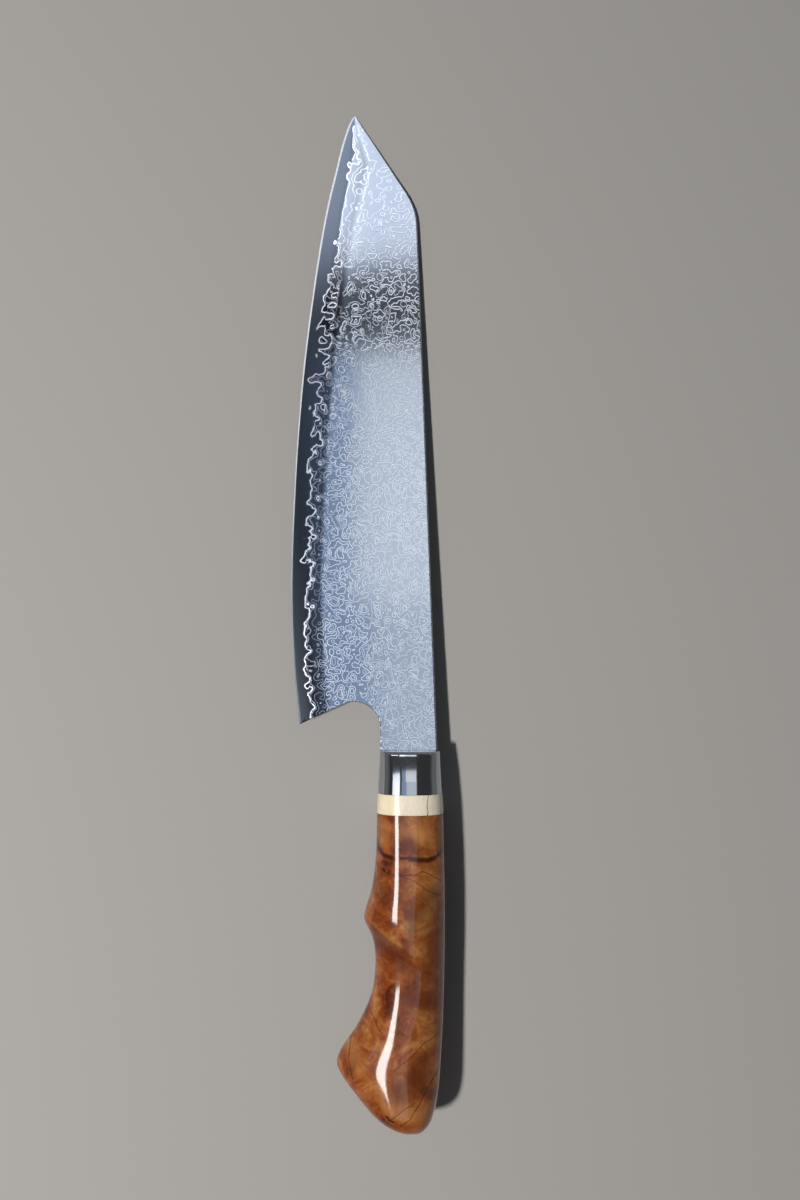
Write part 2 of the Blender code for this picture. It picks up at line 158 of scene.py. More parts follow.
def honed_width(y):
    """Returns the width of the honed edge at y, which grows from the heel to the tip."""
    return HONED_WIDTH * (HONED_HEEL_SHARE + (1 - HONED_HEEL_SHARE) * min(max(y / BLADE_LENGTH, 0.0), 1.0))


def outer_height(x, y):
    """Returns the height of the ground surface over the middle plane: honed edge, bevel, then flat face."""
    low = edge_x(y)
    width = back_x(y) - low
    if width < POINT_WIDTH:
        return HONED_THICKNESS / 2
    bevel = min(BEVEL_WIDTH, BEVEL_SHARE * width)
    lengthwise = LENGTHWISE_THINNING * y / BLADE_LENGTH
    face, shoulder = (
        (SPINE_THICKNESS - lengthwise - CROSSWISE_THINNING * (NECK_BACK - place) / HEEL_HEIGHT) / 2
        for place in (x, low + bevel)
    )
    most = EDGE_THICKNESS / 2 + TIP_SHARE * width
    share = max((x - low) / bevel, 0.0)
    rise = share + BEVEL_BULGE * (1 - share) * min(share, 1.0)
    ground = EDGE_THICKNESS / 2 + (min(shoulder, most) - EDGE_THICKNESS / 2) * rise
    face = min(face, most)
    height = (ground + face - math.sqrt((ground - face) ** 2 + min(SHOULDER_BLEND, 0.3 * face) ** 2)) / 2
    honed = min(max((x - low) / honed_width(y), 0.0), 1.0)
    return HONED_THICKNESS / 2 + (height - HONED_THICKNESS / 2) * min(honed * (2 - honed), 1.0)


def core_height(y):
    return (CORE_THICKNESS - CORE_THINNING * y / BLADE_LENGTH) / 2


def blade_ring(y):
    """Returns the closed section of the blade at y, from the edge over the left face and back underneath."""
    low = edge_x(y)
    high = back_x(y)
    width = high - low
    bevel = min(BEVEL_WIDTH, BEVEL_SHARE * width)
    ease = min(SPINE_EASE, 0.1 * width)
    honed = min(honed_width(y), 0.3 * bevel)
    across = np.concatenate((
        np.linspace(0, honed, 5, endpoint=False),
        np.linspace(honed, bevel, 18, endpoint=False),
        np.linspace(bevel, bevel + 0.3 * (width - bevel), 10, endpoint=False),
        np.linspace(bevel + 0.3 * (width - bevel), width - 2 * ease, 6),
        (width - ease,),
    ))
    upper = [(low + a, outer_height(low + a, y)) for a in across]
    crown = upper[-1][1]
    rounding = min(ease, 0.9 * crown)
    for turn in np.linspace(0, math.pi / 2, 6)[1:]:
        upper.append((high - ease + ease * math.sin(turn), crown - rounding * (1 - math.cos(turn))))
    lower = [(x, -z) for x, z in reversed(upper)]
    return [(x, y, z) for x, z in upper + lower]


def closed_mesh(bm, mesh):
    """Writes a closed surface to the mesh, without slivers and with its faces outward, and returns it."""
    bmesh.ops.dissolve_degenerate(bm, edges=bm.edges, dist=MERGE_DISTANCE)
    bmesh.ops.recalc_face_normals(bm, faces=bm.faces)
    bm.to_mesh(mesh)
    bm.free()
    return mesh


def loft(name, rings):
    """Returns a closed mesh through rings of equal point counts, with a flat cap on each end."""
    bm = bmesh.new()
    rows = [[bm.verts.new(point) for point in ring] for ring in rings]
    for row, following in zip(rows, rows[1:]):
        for i in range(len(row)):
            j = (i + 1) % len(row)
            bm.faces.new((row[i], row[j], following[j], following[i]))
    bm.faces.new(reversed(rows[0]))
    bm.faces.new(rows[-1])
    bmesh.ops.remove_doubles(bm, verts=bm.verts, dist=MERGE_DISTANCE)
    return closed_mesh(bm, bpy.data.meshes.new(name))


def tang_and_choil_cutter():
    """Returns what is ground away behind the heel and beside the tang, with the choil's two edges eased."""
    heel_x = edge_x(heel_y)
    arc_x = -NECK_BELLY - CHOIL_RADIUS
    arc_y = heel_y + (arc_x - heel_x) * math.tan(CHOIL_ANGLE) - CHOIL_RADIUS / math.cos(CHOIL_ANGLE)
    out = heel_x - CUTTER_REACH
    start = np.array((out, heel_y - CUTTER_REACH * math.tan(CHOIL_ANGLE)))
    touch = np.array((
        arc_x - CHOIL_RADIUS * math.sin(CHOIL_ANGLE),
        arc_y + CHOIL_RADIUS * math.cos(CHOIL_ANGLE),
    ))
    choil = [tuple(start + (touch - start) * share) for share in np.linspace(0, 1, 40, endpoint=False)]
    for angle in np.linspace(math.pi / 2 + CHOIL_ANGLE, 0, 40):
        choil.append((arc_x + CHOIL_RADIUS * math.cos(angle), arc_y + CHOIL_RADIUS * math.sin(angle)))
    wall_end = choil[-1][1]
    choil += [(-NECK_BELLY, wall_end * share) for share in np.linspace(1, 0.05, 8)[1:]]
    path = np.array(choil)
    along = np.gradient(path, axis=0)
    along /= np.linalg.norm(along, axis=1)[:, None]
    inward = np.column_stack((-along[:, 1], along[:, 0]))
    past_tang = TANG_END_Y - 2 * CUTTER_REACH
    tang = [
        (-NECK_BELLY, GLUE_LINE), (-TANG_WIDTH / 2, GLUE_LINE), (-TANG_END_WIDTH / 2, TANG_END_Y),
        (TANG_END_WIDTH / 2, TANG_END_Y), (TANG_WIDTH / 2, GLUE_LINE),
        (NECK_BACK + CUTTER_REACH, GLUE_LINE), (NECK_BACK + CUTTER_REACH, past_tang), (out, past_tang),
    ]
    upper = []
    # Each ring's way in from the edge and its drop below the face, both in shares of the easing
    for offset, drop in ((0.0, 1.0), (0.08, 0.6), (0.3, 0.28), (0.65, 0.08), (1.3, -0.12), (1.3, -8.0)):
        ring = []
        for (x, y), (nx, ny) in zip(path, inward):
            moved_x = x + nx * offset * CHOIL_EASE
            moved_y = y + ny * offset * CHOIL_EASE
            surface = outer_height(min(max(moved_x, heel_x), 0.0), max(moved_y, heel_y))
            ease = min(CHOIL_EASE, 0.8 * surface)
            ring.append((moved_x, moved_y, surface - drop * ease))
        height = SPINE_THICKNESS / 2 - drop * CHOIL_EASE
        ring += [(x, y, height) for x, y in tang]
        upper.append(ring)
    lower = [[(x, y, -z) for x, y, z in ring] for ring in reversed(upper)]
    return loft("tang_and_choil_cutter", lower + upper)


def layer_slab(name, low, high):
    """Returns a wide slab between two heights, each given as a function of y."""
    reach = HEEL_HEIGHT + CUTTER_REACH
    rings = []
    for y in (TANG_END_Y - 2 * CUTTER_REACH, tip_y + CUTTER_REACH):
        corners = ((-reach, low(y)), (reach, low(y)), (reach, high(y)), (-reach, high(y)))
        rings.append([(x, y, z) for x, z in corners])
    return loft(name, rings)


def in_scene(name, data):
    """Returns a new object of the data, linked to the scene."""
    obj = bpy.data.objects.new(name, data)
    bpy.context.scene.collection.objects.link(obj)
    return obj


def applied(obj):
    """Returns the object's mesh with its modifier applied, and removes the object."""
    depsgraph = bpy.context.evaluated_depsgraph_get()
    mesh = bpy.data.meshes.new_from_object(obj.evaluated_get(depsgraph))
    bpy.data.objects.remove(obj, do_unlink=True)
    return mesh


def cut(mesh, cutters, operation="DIFFERENCE"):
    """Returns the mesh after an exact cut with each of the cutter meshes."""
    for cutter in cutters:
        blank = in_scene(mesh.name, mesh)
        tool = in_scene(cutter.name, cutter)
        modifier = blank.modifiers.new("cut", "BOOLEAN")
        modifier.operation = operation
        modifier.object = tool
        mesh = applied(blank)
        bpy.data.objects.remove(tool, do_unlink=True)
    return mesh


def store(mesh, name, values):
    """Stores one number for each vertex of the mesh, for its material to read."""
    attribute = mesh.attributes.new(name, "FLOAT", "POINT")
    attribute.data.foreach_set("value", np.array(values, dtype=np.float32))


def knife_piece(name, mesh, material, sharp_degrees=40):
    """Adds a finished piece, laid down with the knife, whose faces meet smoothly up to the given angle."""
    mesh.name = name
    mesh.materials.clear()
    mesh.materials.append(material)
    mesh.shade_smooth()
    mesh.set_sharp_from_angle(angle=math.radians(sharp_degrees))
    mesh.transform(lying)
    piece = in_scene(name + "_finished", mesh)
    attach(piece, "root")
    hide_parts(name)


def linear(hex_colour):
    """Returns an sRGB hex colour as the linear colour that a shader takes."""
    channels = [int(hex_colour[i:i + 2], 16) / 255 for i in (1, 3, 5)]
    return tuple(c / 12.92 if c <= 0.04045 else ((c + 0.055) / 1.055) ** 2.4 for c in channels) + (1.0,)


def add_node(tree, kind, sockets=(), **settings):
    """Adds a node with its settings, and gives its sockets, by name or in order, values or links."""
    node = tree.nodes.new(kind)
    for name, value in settings.items():
        setattr(node, name, value)
    for key, value in sockets.items() if isinstance(sockets, dict) else enumerate(sockets):
        if isinstance(value, bpy.types.Node):
            value = next(socket for socket in value.outputs if socket.enabled)
        if isinstance(value, bpy.types.NodeSocket):
            tree.links.new(value, node.inputs[key])
        else:
            node.inputs[key].default_value = value
    return node


def new_finish(name):
    """Returns a new material, and the function that adds nodes to its tree, which starts empty."""
    mat = bpy.data.materials.new(name)
    mat.use_nodes = True
    mat.node_tree.nodes.clear()
    return mat, functools.partial(add_node, mat.node_tree)


def new_group(name, kind, inputs, outputs):
    """Returns a new node group with the given kinds of sockets, and the function that adds nodes to it."""
    tree = bpy.data.node_groups.new(name, kind)
    for in_out, sockets in (("INPUT", inputs), ("OUTPUT", outputs)):
        for socket_name, socket_kind in sockets.items():
            tree.interface.new_socket(socket_name, in_out=in_out, socket_type="NodeSocket" + socket_kind)
    return tree, functools.partial(add_node, tree)


def knife_millimetres(add):
    """Adds the turn from the object's place in metres to the knife's own upright frame in millimetres."""
    return add("ShaderNodeMapping", {
        "Vector": add("ShaderNodeTexCoord").outputs["Object"], "Location": LYING_PLACE,
        "Rotation": (LYING_PITCH, 0.0, 0.0), "Scale": (0.001,) * 3,
    }, vector_type="TEXTURE")


# Thin layers of two steels are forged onto each side of the core. Dents hammered into the billet and then
# ground flat open the layers as rings and winding lines, some 3 mm across. The etch leaves one steel as
# bright frosted lines about 0.3 mm wide, and the other smooth and grey. All sizes here are in millimetres.
LAYER_STEP = 0.062
TIP_CROWDING = 3.0
DENT_SIZE = 3.0
DENT_DEPTH = 0.27
FACE_DENT_DEPTH = 0.66
TIP_CALM = 0.26
TIP_FACE_CALM = 0.6
RING_SIZE = 2.5
RING_SHARE = 0.45
WELD_DEPTH = 0.018
SWELL_SIZE = 8.0
SWELL_DEPTH = 0.16
BEVEL_SLOPE = 0.085
TIP_BEVEL_SLOPE = 0.035
LEAST_SLOPE = 0.03
LINE_WIDTH = 0.26
WELD_WIDTH = 0.38
PROBE_STEP = 0.05
FROSTED_LAYER = linear("#ECEFF3")
SMOOTH_LAYER = linear("#AFB9C6")
# Painted dark reflection in the ground bevel
BEVEL_DARK_REFLECTION = linear("#575B65")
WELD_LINE = linear("#FBFCFF")
ETCHED_CORE = linear("#40464E")
# The tip's core and hone colours are painted lighter, as painted reflections
TIP_CORE_REFLECTION = linear("#5F6772")
HONED_EDGE_WITH_GLINT = linear("#DDE0E4")
HEEL_HONED_EDGE = linear("#6E737A")
SMOOTH_ROUGHNESS = 0.10
FROSTED_ROUGHNESS = 0.23
CORE_ROUGHNESS = 0.16
HONED_ROUGHNESS = 0.42


def dent_field_group():
    """Builds the node group for how far the hammered dents and the bar's slow swells move the layers."""
    tree, add = new_group("dent_field", "ShaderNodeTree", {"Place": "Vector", "Dent Depth": "Float"},
                          {"Shift": "Float"})
    given = add("NodeGroupInput").outputs
    # The two faces were hammered apart from each other, so the dents differ above and below the core
    spread = add("ShaderNodeVectorMath", (given["Place"], (1.0, 1.0, 4.0)), operation="MULTIPLY")
    dents = add("ShaderNodeTexNoise", {
        "Vector": spread, "Scale": 1 / DENT_SIZE, "Detail": 0.4, "Roughness": 0.4, "Distortion": 0.35,
    })
    side = add("ShaderNodeSeparateXYZ", {0: given["Place"]}).outputs["Z"]
    side = add("ShaderNodeMath", (side,), operation="SIGN")
    wavy = add("ShaderNodeMath", (side, 1000 * BLADE_LENGTH, dents), operation="MULTIPLY_ADD")
    wavy = add("ShaderNodeVectorMath", (given["Place"], wavy), operation="ADD")
    rings = add("ShaderNodeTexVoronoi", {
        "Vector": wavy, "Scale": 1 / RING_SIZE, "Smoothness": 0.4,
    }, feature="SMOOTH_F1", voronoi_dimensions="2D")
    swells = add("ShaderNodeTexNoise", {"Vector": spread, "Scale": 1 / SWELL_SIZE, "Detail": 1.0})
    # Each field is moved so that it swings about zero
    dents = add("ShaderNodeMath", (dents, 0.5), operation="SUBTRACT")
    rings = add("ShaderNodeMath", (rings, 0.40), operation="SUBTRACT")
    swells = add("ShaderNodeMath", (swells, 0.5), operation="SUBTRACT")
    dents = add("ShaderNodeMath", (rings, RING_SHARE, dents), operation="MULTIPLY_ADD")
    swells = add("ShaderNodeMath", (swells, SWELL_DEPTH), operation="MULTIPLY")
    shift = add("ShaderNodeMath", {
        0: dents, 1: given["Dent Depth"], 2: swells,
    }, operation="MULTIPLY_ADD")
    add("NodeGroupOutput", {"Shift": shift}).is_active_output = True
    return tree


dent_field = dent_field_group()


def etched_layers_group():
    """Builds the node group that colours the blade by how deep each place lies in the forged layers, with
    painted reflections in the bevel, the core and the hone.
    """
    tree, add = new_group("etched_layers", "ShaderNodeTree", {},
                          {"Color": "Color", "Roughness": "Float", "Height": "Float"})
    place = knife_millimetres(add)
    axes = add("ShaderNodeSeparateXYZ", {0: place}).outputs
    up_hone = add("ShaderNodeAttribute", attribute_name="up_hone").outputs["Fac"]
    up_bevel = add("ShaderNodeAttribute", attribute_name="up_bevel").outputs["Fac"]
    # Soft changes up the hone and the bevel, in shares of their width, and along the knife, in millimetres.
    # The dents reach deeper in the faces than in the bevel, and the core and the hone are painted lighter
    # towards the tip, as painted reflections
    soft = {}
    for name, *sockets in (
        ("bevel", up_bevel, 0.85, 1.05, 1.0, 0.0),
        ("near_core", up_bevel, 0.9, 1.35, 1.0, 0.0),
        ("dent_depth", up_bevel, 0.5, 1.0, DENT_DEPTH, FACE_DENT_DEPTH),
        ("least_depth", up_bevel, 0.55, 0.85, -0.5, 0.08),
        ("hone", up_hone, 0.8, 1.25, 1.0, 0.0),
        ("tip", axes["Y"], 145.0, 190.0, 0.0, 1.0),
        ("slope", axes["Y"], 0.0, 1000 * tip_y, BEVEL_SLOPE, TIP_BEVEL_SLOPE),
        ("core_tone", axes["Y"], 60.0, 170.0, 0.0, 1.0),
        ("hone_tone", axes["Y"], 20.0, 190.0, 0.0, 1.0),
    ):
        soft[name] = add("ShaderNodeMapRange", sockets, interpolation_type="SMOOTHSTEP")
    tip = soft["tip"]
    beside_core = add("ShaderNodeMath", (soft["near_core"], tip), operation="MULTIPLY")
    # The dents are calmest beside the core at the tip
    dent_depth = soft["dent_depth"]
    for where, calm in ((beside_core, TIP_CALM), (tip, TIP_FACE_CALM)):
        calmed = add("ShaderNodeMath", (where, calm - 1, 1.0), operation="MULTIPLY_ADD")
        dent_depth = add("ShaderNodeMath", (dent_depth, calmed), operation="MULTIPLY")
    shifts = []
    for step in ((0.0, 0.0, 0.0), (PROBE_STEP, 0.0, 0.0), (0.0, PROBE_STEP, 0.0)):
        probe = add("ShaderNodeVectorMath", (place, step), operation="ADD")
        sockets = {"Place": probe, "Dent Depth": dent_depth}
        shifts.append(add("ShaderNodeGroup", sockets, node_tree=dent_field))
    # How deep each place lies in the layers, from the core's face outwards
    core = (axes["Y"], -CORE_THINNING / (2 * BLADE_LENGTH), 500 * CORE_THICKNESS)
    core = add("ShaderNodeMath", core, operation="MULTIPLY_ADD")
    depth = add("ShaderNodeMath", (axes["Z"],), operation="ABSOLUTE")
    for operation, other in (
        ("SUBTRACT", core), ("ADD", shifts[0]), ("SUBTRACT", WELD_DEPTH), ("MAXIMUM", soft["least_depth"]),
    ):
        depth = add("ShaderNodeMath", (depth, other), operation=operation)
    # How steeply the surface cuts through the layers sets how wide each layer shows
    slopes = []
    for moved in shifts[1:]:
        rise = add("ShaderNodeMath", (moved, shifts[0]), operation="SUBTRACT")
        slopes.append(add("ShaderNodeMath", (rise, PROBE_STEP), operation="DIVIDE"))
    across, along = slopes
    ground = add("ShaderNodeMath", (up_bevel, -0.5, 1.2), operation="MULTIPLY_ADD")
    ground = add("ShaderNodeMath", (soft["slope"], ground), operation="MULTIPLY")
    across = add("ShaderNodeMath", (soft["bevel"], ground, across), operation="MULTIPLY_ADD")
    slope = add("ShaderNodeMath", (across, across), operation="MULTIPLY")
    slope = add("ShaderNodeMath", (along, along, slope), operation="MULTIPLY_ADD")
    slope = add("ShaderNodeMath", (slope,), operation="SQRT")
    slope = add("ShaderNodeMath", (slope, LEAST_SLOPE), operation="MAXIMUM")
    # The layers were forged thinner beside the core towards the tip
    count = (beside_core, (TIP_CROWDING - 1) / LAYER_STEP, 1 / LAYER_STEP)
    count = add("ShaderNodeMath", count, operation="MULTIPLY_ADD")
    layer = add("ShaderNodeMath", (depth, count), operation="MULTIPLY")
    off_line = add("ShaderNodeMath", (layer, 1.0), operation="PINGPONG")
    off_line = add("ShaderNodeMath", (1.0, off_line), operation="SUBTRACT")
    off_line = add("ShaderNodeMath", (off_line, count), operation="DIVIDE")
    off_line = add("ShaderNodeMath", (off_line, slope), operation="DIVIDE")
    off_weld = add("ShaderNodeMath", (depth, slope), operation="DIVIDE")
    # The weld line is drawn thinner at the tip
    narrowed = add("ShaderNodeMath", (tip, 1.0), operation="ADD")
    narrowed = add("ShaderNodeMath", (off_weld, narrowed), operation="MULTIPLY")
    narrowed = add("ShaderNodeMath", (narrowed,), operation="ABSOLUTE")
    # Each layer took the etch a little differently
    number = add("ShaderNodeMath", (layer, 0.5), operation="MULTIPLY")
    number = add("ShaderNodeMath", (number,), operation="FLOOR")
    etch = add("ShaderNodeTexWhiteNoise", {"W": number}, noise_dimensions="1D")
    for name, *sockets in (
        ("line", off_line, 0.25 * LINE_WIDTH, 0.75 * LINE_WIDTH, 1.0, 0.0),
        ("etch", etch, 0.0, 1.0, 0.62, 1.0),
        ("bare", off_weld, -0.1, 0.05, 1.0, 0.0),
        ("weld", narrowed, 0.3 * WELD_WIDTH, 0.7 * WELD_WIDTH, 1.0, 0.0),
    ):
        soft[name] = add("ShaderNodeMapRange", sockets, interpolation_type="SMOOTHSTEP")
    bare = soft["bare"]
    # In the ground bevel the layers are painted darker as a painted dark reflection, less so towards the tip,
    # and their frosted lines are dimmed with it
    dark_bevel_reflection = add("ShaderNodeMath", (tip, -0.6, 1.0), operation="MULTIPLY_ADD")
    dark_bevel_reflection = add("ShaderNodeMath", (soft["bevel"], dark_bevel_reflection), operation="MULTIPLY")
    reflection_dimmed = add("ShaderNodeMath", (dark_bevel_reflection, -0.35, 1.0), operation="MULTIPLY_ADD")
    line = add("ShaderNodeMath", (soft["line"], soft["etch"]), operation="MULTIPLY")
    line = add("ShaderNodeMath", (line, reflection_dimmed), operation="MULTIPLY")
    # The bare core starts where the innermost layer has been ground through, along a bright weld line, and
    # the hone leaves a narrow bevel along the very edge. Both are painted lighter towards the tip: painted
    # reflections.
    colour = add("ShaderNodeMix", {0: dark_bevel_reflection, 6: SMOOTH_LAYER, 7: BEVEL_DARK_REFLECTION}, data_type="RGBA")
    core = add("ShaderNodeMix", {0: soft["core_tone"], 6: ETCHED_CORE, 7: TIP_CORE_REFLECTION}, data_type="RGBA")
    hone = {0: soft["hone_tone"], 6: HEEL_HONED_EDGE, 7: HONED_EDGE_WITH_GLINT}
    hone = add("ShaderNodeMix", hone, data_type="RGBA")
    coats = ((line, FROSTED_LAYER), (bare, core), (soft["weld"], WELD_LINE), (soft["hone"], hone))
    for factor, other in coats:
        colour = add("ShaderNodeMix", {0: factor, 6: colour, 7: other}, data_type="RGBA")
    covered = add("ShaderNodeMath", (1.0, bare), operation="SUBTRACT")
    frosted = add("ShaderNodeMath", (line, covered), operation="MULTIPLY")
    frosted = add("ShaderNodeMath", (frosted, soft["weld"]), operation="MAXIMUM")
    roughness = (frosted, 0.0, 1.0, SMOOTH_ROUGHNESS, FROSTED_ROUGHNESS)
    roughness = add("ShaderNodeMapRange", roughness, interpolation_type="SMOOTHSTEP")
    for factor, rougher in ((bare, CORE_ROUGHNESS), (soft["hone"], HONED_ROUGHNESS)):
        roughness = add("ShaderNodeMix", {0: factor, 2: roughness, 3: rougher})
    end = add("NodeGroupOutput", {"Color": colour, "Roughness": roughness, "Height": frosted})
    end.is_active_output = True
    return tree


etched_layers = etched_layers_group()


def etched_steel(name):
    """Returns one layer's steel: bare metal whose colour, painted reflections included, and frosting come
    from the etched layers.
    """
    mat, add = new_finish(name)
    layers = add("ShaderNodeGroup", node_tree=etched_layers).outputs
    bump = add("ShaderNodeBump", {"Height": layers["Height"], "Strength": 0.25, "Distance": 0.00002})
    shader = add("ShaderNodeBsdfPrincipled", {
        "Base Color": layers["Color"], "Metallic": 1.0, "Roughness": layers["Roughness"], "Normal": bump,
    })
    add("ShaderNodeOutputMaterial", {"Surface": shader})
    return mat


def blade_layer(name, low, high, material):
    """Adds one layer of the blade and tang, cut out of the ground blank between two heights."""
    stations = np.concatenate((
        (TANG_END_Y - CUTTER_REACH, *NECK_STATIONS),
        np.linspace(FACE_START_Y, clip_corner - CLIP_ROUND_LENGTH, 150, endpoint=False),
        np.linspace(clip_corner - CLIP_ROUND_LENGTH, clip_corner + CLIP_ROUND_LENGTH, 16, endpoint=False),
        tip_y - (tip_y - clip_corner - CLIP_ROUND_LENGTH) * np.linspace(1, 0, 34) ** 1.4,
    ))
    mesh = loft(name, [blade_ring(y) for y in stations])
    mesh = cut(mesh, [tang_and_choil_cutter()])
    mesh = cut(mesh, [layer_slab(name + "_slab", low, high)], "INTERSECT")
    places = [vertex.co for vertex in mesh.vertices]
    from_edge = [co.x - edge_x(co.y) if co.y > 0 else HEEL_HEIGHT for co in places]
    widths = [min(BEVEL_WIDTH, BEVEL_SHARE * max(back_x(co.y) - edge_x(co.y), WELD_GAP)) for co in places]
    store(mesh, "up_hone", [distance / honed_width(co.y) for distance, co in zip(from_edge, places)])
    store(mesh, "up_bevel", [distance / width for distance, width in zip(from_edge, widths)])
    knife_piece(name, mesh, material, sharp_degrees=12)


etched_core = etched_steel("etched_core_steel")
blade_layer("core_steel", lambda y: -core_height(y), core_height, etched_core)


# Claddings
# Two forge-welded stacks of layered steel, one on each side of the core. They are the blade's pale faces
# with their winding lines, and the outer layers of the tang.
clad_steel = etched_steel("etched_layered_steel")
for name, low, high in (
    ("left_cladding", lambda y: core_height(y) + WELD_GAP, lambda y: 4 * SPINE_THICKNESS),
    ("right_cladding", lambda y: -4 * SPINE_THICKNESS, lambda y: -core_height(y) - WELD_GAP),
):
    blade_layer(name, low, high, clad_steel)


# Bolster
# A block of stainless steel slotted for the tang, ground to the handle's section and polished to a mirror.
# Its front edge is rounded over, and two hidden dowels hold it in line with the grip.
BOLSTER_LENGTH = 0.0140
BOLSTER_RIM = 0.0012
BOLSTER_TAPER = 0.0010
BOLSTER_SLOPE_DROP = 0.0018
BOLSTER_SLOPE_LENGTH = 0.0095
SLOPE_EXPONENT = 1.12
RIM_DROP = 0.0010
BELLY_OVERHANG = 0.0001
BACK_OVERHANG = 0.0010
SPACER_LENGTH = 0.0066
GRIP_LENGTH = 0.1053
GRIP_BELLY = 0.01107
GRIP_BACK = 0.01153
GRIP_THICKNESS = 0.0192
BUTT_APEX = 0.0012
# Where the finger bump stands, and how far it reaches
RIDGE_SHARE = 0.336
BUMP_SHARE = 1.380
# Outline from the front, down the belly, round the butt and up the back: share of the grip's length, and
# the distance out from the tang's line, in shares of the grip's half width at its front
BELLY_SHARES = (
    (0.125, 1.025), (0.243, 1.160), (0.305, 1.333), (RIDGE_SHARE, BUMP_SHARE), (0.364, 1.274),
    (0.400, 1.120), (0.470, 1.042), (0.570, 1.150), (0.670, 1.575), (0.754, 2.100), (0.790, 2.205),
    (0.824, 2.085), (0.913, 1.395), (0.965, 0.820), (0.991, 0.280),
)
BACK_SHARES = (
    (0.991, 0.400), (0.965, 0.610), (0.926, 0.742), (0.873, 0.845), (0.687, 0.972), (0.360, 1.050),
    (0.067, 1.015),
)
# Thickness along the grip, in shares of the thickness at its front
SWELL_SHARES = (
    (0.0, 1.0), (0.18, 1.05), (0.33, 1.08), (0.45, 1.05), (0.60, 1.00), (0.70, 1.04), (0.80, 1.12),
    (0.90, 1.23), (1.0, 1.36),
)
BUTT_ROUND_LENGTH = 0.0090
ROUND_EXPONENT = 2.4
FRONT_EXPONENT = 2.55
WAIST_EXPONENT = 2.05
BUTT_EXPONENT = 2.5
SQUARE_SHARE = 0.2
WAIST_SHARE = 0.66
CROWN_SHARE = 0.3
# How fast the belly side of the section grows sharper as the outline widens
BELLY_SHARPENING = 0.4
RIDGE_LEAN = 0.62
SCOOP_DEPTH = 0.0013
SCOOP_START_SHARE = -0.2
SCOOP_END_SHARE = 0.5
SCOOP_LENGTH = 0.0340
SCOOP_RISE_LENGTH = 0.0040
FIT_GAP = 0.0003
DOWEL_RADIUS = 0.00125
DOWEL_OFFSET = 0.0076
DOWEL_IN_BOLSTER = 0.0050
DOWEL_IN_GRIP = 0.0060
RING_POINTS = 128
# What each station of the handle tells the tree that skins it
STATION_VALUES = ("along", "belly", "crown", "back", "half_height", "belly_exponent", "back_exponent")

spacer_front = -BOLSTER_LENGTH - GLUE_LINE
spacer_rear = spacer_front - SPACER_LENGTH
grip_front = spacer_rear - GLUE_LINE
grip_end = grip_front - GRIP_LENGTH


def grip_outline():
    """Returns the grip's belly and back lines, each as distance along the grip and distance across."""
    points = [(0.0, -GRIP_BELLY)]
    points += [(share, -width * GRIP_BELLY) for share, width in BELLY_SHARES]
    points.append((1.0, BUTT_APEX))
    points += [(share, width * GRIP_BACK) for share, width in BACK_SHARES]
    points.append((0.0, GRIP_BACK))
    path = smooth_path([(share * GRIP_LENGTH, x) for share, x in points], 24)
    turn = int(np.argmax(path[:, 0]))
    return path[:turn + 1], path[turn:][::-1]


belly_path, back_path = grip_outline()
swell_path = smooth_path(SWELL_SHARES, 24)


def handle_section(y):
    """Returns the handle's belly, crown line, back, half thickness and its two sides' exponents at y."""
    if y >= grip_front:
        share = y / grip_front
        belly = NECK_BELLY + BELLY_OVERHANG
        back = NECK_BACK + BACK_OVERHANG
        belly, back = -belly + (belly - GRIP_BELLY) * share, back + (GRIP_BACK - back) * share
        height = GRIP_THICKNESS / 2 - BOLSTER_TAPER * (1 - share)
        height -= BOLSTER_SLOPE_DROP * max(0.0, 1 + y / BOLSTER_SLOPE_LENGTH) ** SLOPE_EXPONENT
        if y > -BOLSTER_RIM:
            lack = 1 + y / BOLSTER_RIM
            height -= RIM_DROP * (1 - math.sqrt(1 - lack * lack))
    else:
        run = grip_front - y
        belly, back = (np.interp(run, path[:, 0], path[:, 1]) for path in (belly_path, back_path))
        height = GRIP_THICKNESS / 2 * np.interp(run / GRIP_LENGTH, swell_path[:, 0], swell_path[:, 1])
        over = max(0.0, 1 - (y - grip_end) / BUTT_ROUND_LENGTH)
        height *= (1 - over ** ROUND_EXPONENT) ** (1 / ROUND_EXPONENT)
    turned = min(max(y / grip_end, 0.0), 1.0)
    exponent = FRONT_EXPONENT
    for change, start, stop in (
        (WAIST_EXPONENT - FRONT_EXPONENT, SQUARE_SHARE, WAIST_SHARE),
        (BUTT_EXPONENT - WAIST_EXPONENT, WAIST_SHARE, 1.0),
    ):
        part = min(max((turned - start) / (stop - start), 0.0), 1.0)
        exponent += change * part * part * (3 - 2 * part)
    crown = (belly + back) / 2 * (CROWN_SHARE + (1 - CROWN_SHARE) * turned ** 8)
    belly_exponent = exponent * min(1.0, GRIP_BELLY / max(crown - belly, FIT_GAP)) ** BELLY_SHARPENING
    return belly, crown, back, height, belly_exponent, exponent


